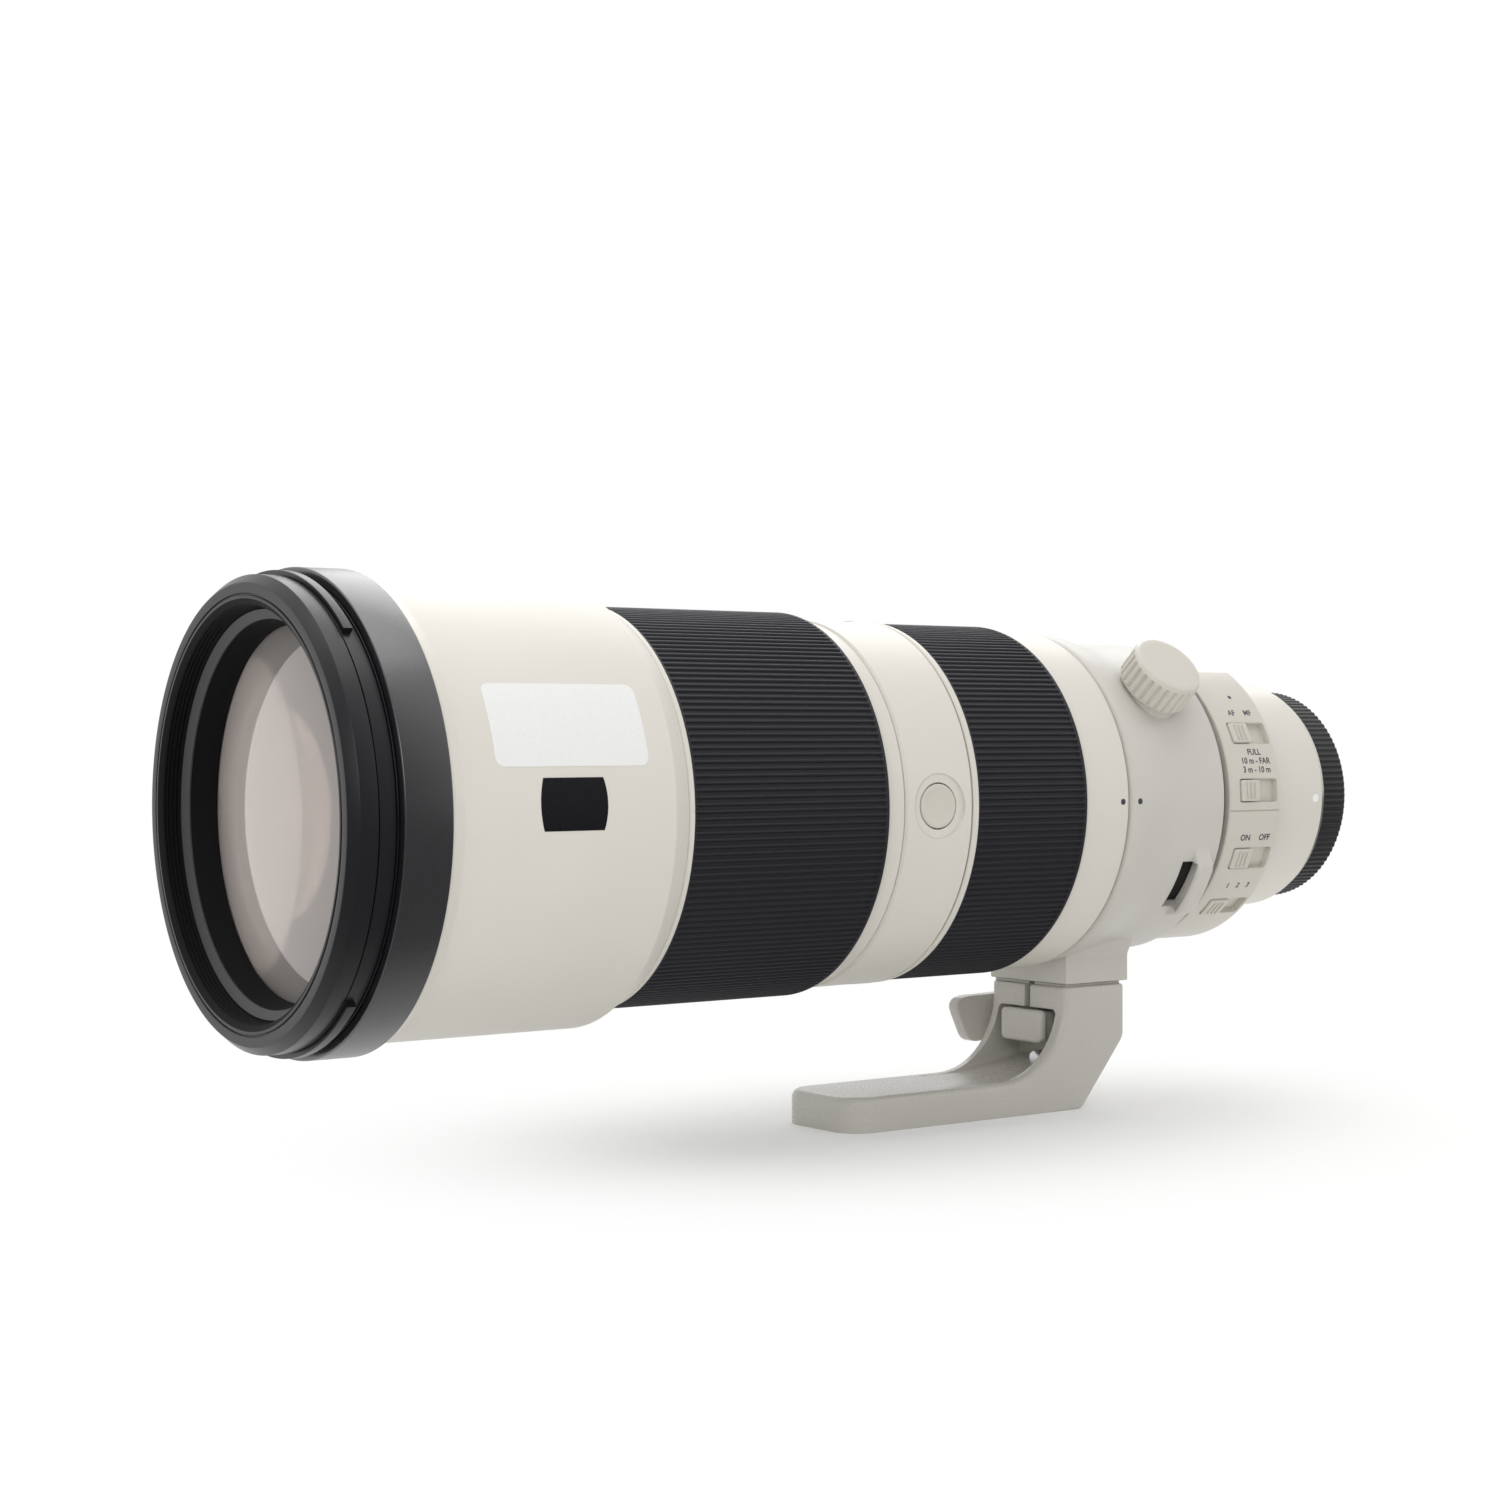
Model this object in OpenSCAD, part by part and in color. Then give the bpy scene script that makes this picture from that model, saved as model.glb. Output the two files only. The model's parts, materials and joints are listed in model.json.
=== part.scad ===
// White internal-zoom telephoto lens on a removable tripod foot, with its rear cap fitted.
// +X runs along the optical axis towards the camera, -Y is the lens' left side and +Z is up.
// The origin is the centre of the mount flange. Lengths are in millimetres, angles in degrees.
// A side angle is 0 on the left side, 90 at the top and -90 at the foot.

/* [Front ring] */
// Nominal diameter of the filter thread
filter_d = 95; // [92:0.5:97]
// Pitch of the filter thread
filter_pitch = 1; // [0.75:0.25:1]
// Length of the filter thread
filter_len = 3.8; // [3.5:0.1:4.4]
// Lead-in bevel in front of the thread
filter_bevel = 1; // [0.5:0.1:1.2]
// Radial thickness of the front ring over the thread
rim_wall = 6.84; // [6:0.02:8]
// Chamfer of the front rim
rim_chamfer = 2.2; // [1:0.1:2.6]
// Length of the cylinder that the hood sits on
hood_seat_len = 4.3; // [3.5:0.1:5]
// Width of the thin groove behind the hood seat
hood_groove_w = 0.7; // [0.5:0.1:0.8]
// Length of the hood bayonet track
hood_track_len = 3.7; // [3.2:0.1:4.2]
// Depth of the bayonet track below the hood seat
hood_track_depth = 1.1; // [0.8:0.1:1.4]
// Width of the groove in front of the black band
band_groove_w = 0.6; // [0.4:0.1:0.8]
// Length of the black band
band_len = 11.6; // [10:0.1:13]
// Rise of the black band above the hood seat
band_rise = 1.95; // [1.4:0.05:2.4]
// Wall of the black band
band_wall = 4.1; // [3.5:0.1:4.5]

/* [Front barrel] */
// Length of the white front barrel
barrel_len = 63.7; // [60:0.1:68]
// Step from the black band down to the front barrel
barrel_step = 2.65; // [2.2:0.05:3.2]
// Wall of the front barrel
barrel_wall = 2.4; // [2:0.1:3]
// Length of the bevel at the rear of the front barrel
barrel_bevel_len = 5.5; // [4.6:0.1:6]
// Thickness of the wall that closes the front barrel at the rear
barrel_end_t = 6; // [5.6:0.1:7]
// Width of the badge plate along the barrel
badge_len = 17.2; // [15:0.1:19]
// Height of the badge plate round the barrel
badge_h = 11.8; // [10:0.1:13]
// Thickness of the badge plate
badge_t = 0.6; // [0.4:0.05:0.8]
// Distance of the badge plate behind the black band
badge_setback = 22.8; // [20:0.1:26]

/* [Front glass] */
// Radius of the front elements
front_glass_r = 44.2; // [43.6:0.05:44.4]
// Radius of curvature of the front surface
front_curve = 150; // [140:1:180]
// Thickness of the first element at its centre
front_thick = 13; // [11:0.1:14]
// Depth of the first element's vertex behind the front face
front_depth = 6.7; // [6.5:0.1:7.4]
// Air space between the first two elements, measured at the edge
front_space = 4.5; // [3.5:0.1:6]
// Thickness of the second element at its edge
second_thick = 9; // [7:0.1:10]
// Wall of the cell behind the retaining ring
cell_wall = 1.8; // [1.6:0.05:2]

/* [Zoom ring] */
// Length of the front rim of the zoom ring
zoom_rim_len = 1.5; // [1:0.1:2.5]
// Length of the zoom rubber
zoom_rubber_len = 57.1; // [54:0.1:60]
// Thickness of the zoom rubber
zoom_rubber_t = 1.95; // [1.5:0.05:2.4]
// Length of the scale skirt behind the zoom rubber
zoom_skirt_len = 6; // [5:0.1:8]
// Wall of the zoom sleeve
zoom_wall = 2.5; // [2:0.1:3]
// Turn of the zoom ring from wide to tele
zoom_turn = 70; // [60:1:80]

/* [Grip grooves] */
// Number of main grooves in a grip rubber
grip_grooves = 36; // [30:1:40]
// Width of a main groove
groove_w = 1; // [0.6:0.1:1.4]
// Depth of a main groove
groove_depth = 0.5; // [0.3:0.1:0.8]

/* [Zoom groups] */
// Travel of the first zoom group towards the camera
zoom_a_travel = 16; // [12:0.5:18]
// Travel of the second zoom group towards the front
zoom_b_travel = 14; // [10:0.5:15]
// Length of a zoom group's cell
zoom_cell_len = 10; // [9:0.1:11]
// Radius of a zoom group's glass
zoom_glass_r = 30; // [26:0.5:32]
// Radius of a cam roller
roller_r = 2.5; // [2:0.1:2.8]
// Space between the end wall of the front barrel and the first zoom group
zoom_a_setback = 4; // [3:0.1:6]
// Space between the two zoom groups at the wide end
zoom_space = 33; // [32:0.5:34]

/* [Tubes and clearances] */
// Inner radius of the guide tube
guide_r = 40; // [38.5:0.1:41]
// Wall of the guide tube
guide_wall = 2; // [1.8:0.1:2.4]
// Wall of the cam tube
cam_wall = 2; // [1.8:0.1:2.4]
// Radial clearance of turning rings
run_gap = 0.5; // [0.35:0.05:0.6]
// Radial clearance of pieces that are fixed in one another
fit_gap = 0.15; // [0.1:0.05:0.2]
// Gap between neighbouring rings along the axis
ring_gap = 0.4; // [0.3:0.05:0.6]
// Gap at each side of the tripod collar
collar_gap = 0.6; // [0.4:0.05:0.8]
// Clearance of small sliding pieces
slide_gap = 0.3; // [0.25:0.05:0.4]

/* [Button ring] */
// Length of the button ring
button_ring_len = 21.2; // [19:0.1:24]
// Rise of the button ring above the scale skirt
button_ring_step = 0.35; // [0.2:0.05:0.5]
// Wall of the button ring
button_ring_wall = 3; // [2.6:0.1:3.2]
// Diameter of a focus-hold button
button_d = 11; // [10:0.1:12]
// Diameter of the flat round each button
button_flat_d = 16; // [14:0.1:17]
// Depth of the flat below the ring
button_flat_depth = 0.9; // [0.7:0.05:1.2]
// Travel of a focus-hold button
button_travel = 0.7; // [0.4:0.1:0.8]

/* [Focus ring] */
// Length of the front rim of the focus ring
focus_rim_len = 1.5; // [1:0.1:2.5]
// Length of the focus rubber
focus_rubber_len = 37; // [34:0.1:40]
// Thickness of the focus rubber
focus_rubber_t = 2; // [1.5:0.05:2.4]
// Wall of the focus sleeve
focus_wall = 2.5; // [2:0.1:3]

/* [Focus group] */
// Travel of the focus group
focus_travel = 12; // [8:0.5:13]
// Radius of the focus glass
focus_glass_r = 27; // [22:0.5:28]
// Length of the focus cell
focus_cell_len = 9; // [8:0.1:10]
// Radius of the guide rods
rod_r = 1.5; // [1.2:0.1:1.8]
// Distance of the guide rods from the axis
rod_pitch_r = 33; // [32:0.1:34]

/* [Iris] */
// Radius of the full opening
iris_open_r = 21.5; // [19:0.1:22]
// Width of a blade
blade_w = 7.5; // [7:0.1:8]
// Thickness of a blade
blade_t = 0.28; // [0.2:0.01:0.3]
// Distance between the planes of neighbouring blades
blade_pitch = 0.6; // [0.58:0.01:0.65]
// Distance of the blade pivots from the axis
blade_pivot_r = 33; // [32.5:0.1:33.5]

/* [Stabiliser] */
// Travel of the stabiliser to each side
shift_travel = 0.6; // [0.4:0.05:0.6]
// Radius of the stabiliser glass
shift_glass_r = 23; // [20:0.5:24]
// Length of the stabiliser
shift_len = 15.4; // [14.4:0.1:16]

/* [Rear ring] */
// Length of the fixed ring behind the focus ring
rear_ring_len = 15.7; // [14:0.1:18]
// Wall of the fixed ring
rear_ring_wall = 4.2; // [3.8:0.1:4.6]

/* [Tripod collar] */
// Length of the collar
collar_len = 37.5; // [36:0.1:40]
// Wall of the collar at the rear
collar_wall = 2.4; // [2.2:0.1:2.8]
// Extra radius of the collar at its front edge
collar_flare = 2.85; // [2.4:0.05:3.2]
// Length of the full front edge of the collar
collar_edge_len = 5; // [4:0.1:7]
// Length of the sweep from the front edge down to the rear
collar_sweep_len = 12; // [10:0.1:14]
// Width of the pedestal under the collar
pedestal_w = 31; // [30.6:0.1:34]
// Length of the pedestal
pedestal_len = 22.9; // [22:0.1:24]
// Distance of the pedestal in front of the collar's rear face
pedestal_setback = 10.2; // [9.8:0.1:10.8]
// Distance from the optical axis to the underside of the pedestal
pedestal_depth = 50.4; // [49.8:0.1:52]
// Rise of a strap lug above the collar
lug_rise = 3.6; // [3.2:0.1:4]
// Length of a strap lug along the axis
lug_len = 5.7; // [5:0.1:7]
// Height of the strap slot
lug_slot_h = 2; // [1.6:0.1:2.2]
// Side angle of the strap lugs
lug_angle = -33; // [-36:1:-30]

/* [Collar knob] */
// Radius of the lock knob
knob_r = 10.4; // [9:0.1:11]
// Height of the lock knob
knob_h = 7.5; // [6.5:0.1:9]
// Number of grip flutes on the lock knob
knob_flutes = 24; // [16:1:28]
// Side angle of the lock knob
knob_angle = 42; // [38:1:46]
// Distance of the knob axis in front of the collar's rear face
knob_setback = 18.3; // [17:0.1:20]

/* [Tripod foot] */
// Distance from the optical axis to the base of the foot
foot_depth = 84.8; // [82:0.1:90]
// Width of the foot
foot_w = 30; // [29.6:0.1:30.4]
// Length of the foot's base
foot_base_len = 80; // [78:0.1:90]
// Thickness of the foot's plate
foot_plate_t = 9.2; // [8.8:0.1:10]
// Corner radius at the front of the plate
foot_corner_r = 8; // [5:0.1:10]
// Length of the stem
foot_stem_len = 21.8; // [21:0.1:23]
// Height of the straight part of the stem at the rear
foot_stem_h = 14.7; // [13:0.1:16]
// Width of the clamp slit
foot_slit_w = 1.8; // [1.4:0.1:2.2]
// Radius of the sweep between stem and plate
foot_sweep_r = 21; // [18:0.1:22]

/* [Foot release] */
// Width of the release button
release_w = 17.8; // [16:0.1:18.4]
// Height of the release button
release_h = 9.6; // [9:0.1:10.4]
// Travel of the release button
release_travel = 2; // [1:0.1:2.4]
// Radius of the clamp screw
clamp_screw_r = 2.8; // [2.4:0.1:3]
// Length of the clamp lever from its axis to its tip
lever_len = 19; // [17:0.1:20]
// Width of the clamp lever's paddle
lever_w = 12.5; // [10:0.1:13]
// Thickness of the clamp lever's paddle
lever_t = 4; // [3:0.1:5]

/* [Tripod threads] */
// Radius of the large tripod thread, inside the thread
thread_large_r = 4; // [3.9:0.01:4.1]
// Radius of the small tripod thread, inside the thread
thread_small_r = 2.58; // [2.5:0.01:2.65]
// Wall of a thread insert
insert_wall = 2; // [1.5:0.1:2.4]
// Depth of the tripod threads
insert_len = 7.2; // [6.5:0.1:7.4]
// Distance of the large thread in front of the foot's rear edge
thread_large_setback = 30; // [26:0.5:34]
// Distance between the two threads
thread_space = 24; // [20:0.5:28]

/* [Rear barrel] */
// Length of the rear barrel along the switch panel
panel_len = 24.9; // [24:0.1:26]
// Outer radius of the rear barrel
rear_r = 37.4; // [37:0.1:38]
// Wall of the rear barrel
rear_wall = 2.8; // [2.4:0.1:3.2]
// Length of the shoulder down to the mount barrel
shoulder_len = 6; // [5:0.1:8]
// Length of the mount barrel
mount_barrel_len = 20; // [18:0.1:22]
// Outer radius of the mount barrel
mount_barrel_r = 32.4; // [32:0.1:33]
// Length of the sleeve inside the guide tube
sleeve_grip_len = 9; // [8:0.1:10]
// Wall of the sleeve under the collar
sleeve_wall = 2.4; // [2.2:0.1:2.6]

/* [Switch panel] */
// Rise of the panel above the rear barrel
panel_rise = 3.4; // [3:0.1:3.8]
// Bevel at the rear edge of the panel
panel_bevel = 2; // [1:0.1:2.4]
// Upper side angle of the panel
panel_top = 59; // [56:1:60]
// Lower side angle of the panel
panel_bottom = -98; // [-102:1:-94]
// Length of a switch recess
switch_slot_len = 14.5; // [13:0.1:15]
// Distance of the panel's front edge behind the front of the rear barrel
panel_setback = 3.4; // [2.6:0.1:3.8]
// Distance from the front of the rear barrel to the switch recesses
switch_slot_inset = 7.4; // [6.8:0.1:7.5]
// Width of a switch recess
switch_slot_w = 6.4; // [5.6:0.1:7]
// Depth of a switch recess
switch_slot_depth = 1.8; // [1.5:0.1:2.1]
// Length of a switch slider
switch_len = 7; // [6:0.1:7.6]

/* [Mount] */
// Radius of the bayonet's register
register_r = 22.9; // [22.6:0.05:23.2]
// Length of the register
register_len = 2.2; // [2:0.1:2.6]
// Inner radius of the bayonet tube
throat_r = 20.2; // [19.8:0.1:20.4]
// Length of the bayonet tube behind the flange
bayonet_len = 4.8; // [4.6:0.1:5.2]
// Length of a bayonet lug
lug_bayonet_len = 1.4; // [1.2:0.1:1.6]
// Thickness of the mount flange
flange_t = 1.6; // [1.5:0.1:2]
// Outer radius of the mount flange
flange_r = 31.6; // [30.6:0.1:31.8]
// Radius of the circle of mount screws
mount_screw_pcd_r = 27.2; // [26.6:0.1:27.6]
// Number of contacts
contacts = 10; // [8:1:12]

/* [Rear cap] */
// Outer radius of the rear cap
cap_r = 30.2; // [29.6:0.1:31]
// Length of the rear cap
cap_len = 11.6; // [10.8:0.1:13]
// Wall of the rear cap
cap_wall = 1.8; // [1.4:0.1:2.2]
// Number of grip ribs on the rear cap
cap_ribs = 48; // [36:2:60]

/* [Hidden] */
$fn = 96;

// Colours
white = [0.86, 0.85, 0.81];
grey_white = [0.74, 0.73, 0.69];
black = [0.13, 0.13, 0.14];
satin_black = [0.24, 0.24, 0.25];
glass_tint = [0.72, 0.78, 0.82, 0.5];
metal = [0.72, 0.72, 0.74];
brass = [0.75, 0.62, 0.35];
board_green = [0.1, 0.35, 0.2];

// Places along the axis, from the mount flange forward
x_mount_front = -mount_barrel_len;
x_panel_rear = x_mount_front - shoulder_len;
x_panel_front = x_panel_rear - panel_len;
x_collar_rear = x_panel_front - collar_gap;
x_collar_front = x_collar_rear - collar_len;
x_rear_ring_rear = x_collar_front - collar_gap;
x_rear_ring_front = x_rear_ring_rear - rear_ring_len;
x_focus_rear = x_rear_ring_front - ring_gap;
x_focus_rubber_front = x_focus_rear - focus_rubber_len;
x_focus_front = x_focus_rubber_front - focus_rim_len;
x_button_rear = x_focus_front - ring_gap;
x_button_front = x_button_rear - button_ring_len;
x_zoom_rear = x_button_front - ring_gap;
x_zoom_rubber_rear = x_zoom_rear - zoom_skirt_len;
x_zoom_rubber_front = x_zoom_rubber_rear - zoom_rubber_len;
x_zoom_front = x_zoom_rubber_front - zoom_rim_len;
x_barrel_rear = x_zoom_front - ring_gap;
x_barrel_end = x_barrel_rear - barrel_end_t;
x_barrel_front = x_barrel_rear - barrel_len;
x_band_front = x_barrel_front - band_len;
x_track_rear = x_band_front - band_groove_w;
x_track_front = x_track_rear - hood_track_len;
x_hood_seat_rear = x_track_front - hood_groove_w;
x_hood_seat_front = x_hood_seat_rear - hood_seat_len;
x_front = x_hood_seat_front - rim_chamfer;

// Radii of the front
filter_r = (filter_d - 1.0825 * filter_pitch) / 2;
rim_r = filter_r + rim_wall;
track_r = rim_r - hood_track_depth;
band_r = rim_r + band_rise;
band_in = band_r - band_wall;
barrel_r = band_r - barrel_step;
barrel_in = barrel_r - barrel_wall;
lip_r = front_glass_r - 1.2;
cell_out = front_glass_r + fit_gap + cell_wall;
ring_in = cell_out + fit_gap;

// Radii of the tubes and rings
guide_out = guide_r + guide_wall;
cam_in = guide_out + run_gap;
cam_out = cam_in + cam_wall;
zoom_in = cam_out + fit_gap;
zoom_out = zoom_in + zoom_wall;
zoom_rubber_r = zoom_out + zoom_rubber_t;
zoom_rim_r = zoom_rubber_r + ring_gap;
barrel_end_r = zoom_rim_r + ring_gap;
button_ring_r = zoom_out + button_ring_step;
button_ring_in = button_ring_r - button_ring_wall;
focus_in = guide_out + run_gap;
focus_out = focus_in + focus_wall;
focus_rubber_r = focus_out + focus_rubber_t;
focus_rim_r = focus_rubber_r + ring_gap;
rear_ring_r = guide_out + rear_ring_wall;
sleeve_out = guide_r - fit_gap;
sleeve_in = sleeve_out - sleeve_wall;
collar_in = sleeve_out + run_gap;
collar_rear_r = collar_in + collar_wall;
collar_front_r = collar_rear_r + collar_flare;
inner_out = guide_r - fit_gap;

// Depths of the front glass
x_thread_rear = x_front + filter_bevel + filter_len;
x_front_vertex = x_front + front_depth;
front_sag = front_curve - sqrt(pow(front_curve, 2) - pow(front_glass_r, 2));
lip_sag = front_curve - sqrt(pow(front_curve, 2) - pow(lip_r, 2));
x_front_edge = x_front_vertex + front_sag;
x_front_glass_rear = x_front_vertex + front_thick;
x_lip_rear = x_front_vertex + lip_sag - slide_gap;
x_second_front = x_front_glass_rear + front_space;
x_second_rear = x_second_front + second_thick;
x_cell_rear = x_second_rear + cell_wall;
retaining_len = 1.7;
x_cell_front = x_thread_rear + retaining_len;
cell_flange_len = 6;
second_curve = 260;

// Zoom groups
cam_end_gap = 1;
x_cam_front = x_zoom_front + cam_end_gap;
x_cam_rear = x_zoom_rear - cam_end_gap;
x_zoom_a = x_barrel_rear + zoom_a_setback + zoom_cell_len / 2;
x_zoom_b = x_zoom_a + zoom_cell_len + zoom_space;
roller_angles = [90, 210, 330];
roller_tip_r = cam_out - slide_gap;
roller_slot_w = 2 * (roller_r + slide_gap);
key_w = 6;
key_len = 5;
key_depth = 1;
drive_keys = [30, 150, 270];
zoom_curve = 160;
group_curve = 70;

// Guide tube
guide_flange_t = 3;
guide_flange_r = guide_out + 4;
x_guide_front = x_barrel_end - guide_flange_t;
x_guide_rear = x_rear_ring_rear;

// Stabiliser, iris and focus unit, from the rear sleeve forward
unit_gap = 0.5;
plate_t = 1.5;
blades = 7;
x_sleeve_front = x_guide_rear - sleeve_grip_len;
x_shift_rear = x_sleeve_front - 2 * unit_gap;
x_shift_front = x_shift_rear - shift_len;
x_iris_rear = x_shift_front - unit_gap;
drive_ring_t = 2.4;
x_drive_rear = x_iris_rear - plate_t - slide_gap;
x_drive_front = x_drive_rear - drive_ring_t;
x_blade_last = x_drive_front - slide_gap - blade_t;
x_blade_first = x_blade_last - (blades - 1) * blade_pitch;
x_iris_front = x_blade_first - slide_gap - plate_t;
iris_bore_r = iris_open_r + 0.5;
iris_wall = 2.6;
blade_pin_r = 0.8;
blade_eye_r = 2.4;
blade_sweep = 70;
focus_end_gap = 1.5;
focus_rail_len = focus_cell_len + focus_travel + 2 * focus_end_gap;
focus_frame_t = 3;
x_focus_frame_rear = x_iris_front - focus_rail_len;
x_focus_frame_front = x_focus_frame_rear - focus_frame_t;
x_focus_cell = x_focus_frame_rear + focus_end_gap;
magnet_t = 2.2;
magnet_w = 12;
focus_cell_r = inner_out - magnet_t - run_gap;
rod_seat_gap = 0.05;
shift_wall = 2.85;
shift_cavity_r = inner_out - shift_wall;
shift_window_r = shift_glass_r + 2;
carriage_t = 2.5;
carriage_r = shift_cavity_r - shift_travel - slide_gap;
x_carriage_front = x_shift_front + plate_t + slide_gap;
x_carriage_rear = x_carriage_front + carriage_t;
x_shift_cell_front = x_carriage_rear + slide_gap;
x_shift_cell_rear = x_shift_rear - plate_t - slide_gap;
shift_cell_r = carriage_r - 2 * shift_travel;

// Rear group and rear barrel
x_rear_cell_front = x_sleeve_front + 2;
rear_cell_len = x_collar_rear - 4 - x_rear_cell_front;
rear_cell_r = sleeve_in - fit_gap;
rear_glass_r = 29;
rear_in = rear_r - rear_wall;
mount_barrel_in = mount_barrel_r - rear_wall;
x_sleeve_step = x_collar_rear - 1;
mount_wall_t = 4.4;
x_mount_wall_front = -flange_t - mount_wall_t;
spigot_r = register_r + 0.15;
screw_head_r = 1.9;
screw_r = 0.95;
screw_head_t = 1.1;
mount_screw_count = 4;
bayonet_out = register_r - 1.3;
bayonet_lug_span = 55;
contact_in = throat_r - 3.6;
contact_pin_r = 0.7;
board_t = 1.6;
board_setback = 18;
x_board = x_panel_rear - board_setback;

// Switch panel
panel_r = rear_r + panel_rise;
switch_angles = [26, 3, -24, -48];
x_panel_edge = x_panel_front + panel_setback;
x_switch_slot = x_panel_front + switch_slot_inset;
switch_proud = 0.7;

// Collar, pedestal and foot rail
x_collar_edge = x_collar_front + collar_edge_len;
x_pedestal_rear = x_collar_rear - pedestal_setback;
x_pedestal_front = x_pedestal_rear - pedestal_len;
collar_round = 1;
lug_span = 34;
lug_slot_span = 17;
lug_base_sink = 0.6;
x_lug_rear = x_collar_rear - 3.3;
x_lug_front = x_lug_rear - lug_len;
lug_top_r = collar_rear_r + lug_rise;
knob_base_r = collar_front_r + 0.9;
x_knob = x_collar_rear - knob_setback;
knob_boss_r = 7.5;
rail_neck_w = 9;
rail_neck_h = 2.4;
rail_head_w = 15;
rail_head_h = 2.2;
flap_t = 4;

// Tripod foot
foot_gap = 0.3;
foot_top = pedestal_depth + foot_gap;
x_stem_rear = x_pedestal_rear - 1.2;
x_stem_front = x_stem_rear - foot_stem_len;
foot_chamfer_run = 15.6;
x_base_rear = x_stem_rear - foot_chamfer_run;
x_base_front = x_base_rear - foot_base_len;
foot_plate_top = foot_depth - foot_plate_t;
foot_tip_round = 2.6;
x_rail_front = x_stem_front + flap_t + slide_gap;
x_rail_rear = x_stem_rear - 1;
rail_slot_depth = foot_top + rail_neck_h + rail_head_h + slide_gap;
recess_depth = 8;
recess_wall = 3.2;
recess_top = foot_top + 6.2;
release_top_gap = 0.8;
recess_floor_gap = 5;
release_depth = recess_top + release_top_gap + release_h / 2;
recess_bottom = recess_top + release_top_gap + release_h + recess_floor_gap;
release_proud = 2.8;
x_release_front = x_stem_front - release_proud;
release_len = recess_depth + release_proud - release_travel - 1;
x_clamp = x_stem_rear - 8.8;
clamp_depth = rail_slot_depth + clamp_screw_r + 1.2;
clamp_end_wall = 2;
release_pin_r = 1.5;
release_pin_len = 6;
release_pin_depth = clamp_depth + clamp_screw_r + release_pin_r + 3 * slide_gap;
lever_hub_r = 6.2;
lever_hub_t = 6;
lever_side = foot_w / 2 + slide_gap;
x_thread_large = x_base_rear - thread_large_setback;
x_thread_small = x_thread_large - thread_space;
insert_set_in = 0.2;

// Rear cap
x_cap_front = ring_gap;
x_cap_rear = x_cap_front + cap_len;
cap_floor_t = 2.2;
cap_rib_h = 0.5;

// A solid of revolution about the optical axis, from [radius, x] points
module spin(profile) {
    rotate([0, 90, 0]) rotate_extrude() polygon(profile);
}

// The part of a solid of revolution between two side angles
module spin_between(profile, low, high) {
    rotate([270 - high, 0, 0]) rotate([0, 90, 0])
        rotate_extrude(angle = high - low) polygon(profile);
}

// A plain tube about the optical axis
module tube(x0, x1, r_in, r_out) {
    spin([[r_in, x0], [r_out, x0], [r_out, x1], [r_in, x1]]);
}

// A disc about the optical axis
module disc(x0, x1, r) {
    translate([x0, 0, 0]) rotate([0, 90, 0]) cylinder(h = x1 - x0, r = r);
}

// Places children with local Z pointing straight out of the barrel at a side angle
module on_side(angle, x = 0) {
    translate([x, 0, 0]) rotate([90 - angle, 0, 0]) children();
}

// Depth of a glass surface at a distance from the axis
function sag(curve, q) = curve == 0 ? 0 : abs(curve) - sqrt(pow(curve, 2) - pow(q, 2));

// Depth of a glass surface below its highest point; a positive curve bulges out, a negative one is hollow
function dip(curve, r, q) = curve < 0 ? sag(curve, r) - sag(curve, q) : sag(curve, q);

// A glass element between two places, with the curves of its front and rear surfaces
module element(x0, x1, r, front, rear) {
    front_steps = front == 0 ? 1 : 10;
    rear_steps = rear == 0 ? 1 : 10;
    spin(concat(
        [for (i = [0:front_steps]) let (q = r * i / front_steps) [q, x0 + dip(front, r, q)]],
        [for (i = [rear_steps:-1:0]) let (q = r * i / rear_steps) [q, x1 - dip(rear, r, q)]]));
}

// A slot cutter that winds round a tube while it runs along the axis
module winding_slot(x0, dx, turn, r_low, r_high, width) {
    steps = 14;
    r_mid = (r_low + r_high) / 2;
    arc = turn * PI / 180 * r_mid;
    way = norm([arc, dx]);
    reach = width / 2 / way;
    across = [dx / way * width / 2 / r_mid * 180 / PI, arc / way * width / 2];
    points = [for (i = [0:steps]) let (t = -reach + (1 + 2 * reach) * i / steps)
        for (side = [1, -1], r = [r_low, r_high])
            let (a = -turn * t + side * across[0], x = x0 + dx * t + side * across[1])
            [x, r * cos(a), r * sin(a)]];
    walls = [for (i = [0:steps - 1], q = [[0, 1], [1, 3], [3, 2], [2, 0]])
        let (b = 4 * i)
        each [[b + q[0], b + q[1], b + q[1] + 4], [b + q[0], b + q[1] + 4, b + q[0] + 4]]];
    e = 4 * steps;
    ends = [[0, 2, 3], [0, 3, 1], [e, e + 1, e + 3], [e, e + 3, e + 2]];
    polyhedron(points, concat(walls, ends));
}

// Front ring with the filter thread, the hood seat and the bayonet track
module front_ring() {
    lug_drop = 0.7;
    lug_h = hood_track_depth - lug_drop;
    lug_w = 1.1;
    lug_sweep = 85;
    lane_h = 0.15;
    color(satin_black) union() {
        spin([[filter_r + filter_bevel, x_front], [rim_r - rim_chamfer, x_front],
            [rim_r, x_hood_seat_front], [rim_r, x_hood_seat_rear],
            [track_r, x_hood_seat_rear], [track_r, x_band_front],
            [band_in - fit_gap, x_band_front], [band_in - fit_gap, x_barrel_front],
            [ring_in, x_barrel_front], [ring_in, x_thread_rear], [filter_r, x_thread_rear],
            [filter_r, x_front + filter_bevel]]);
        for (a = [90, 270])
            spin_between([[track_r - 0.2, x_track_front], [track_r + lug_h, x_track_front],
                [track_r + lug_h, x_track_front + lug_w], [track_r - 0.2, x_track_front + lug_w]],
                a - lug_sweep / 2, a + lug_sweep / 2);
        tube(x_track_front + 2 * lug_w, x_track_rear, track_r - 0.2, track_r + lane_h);
    }
}

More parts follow.
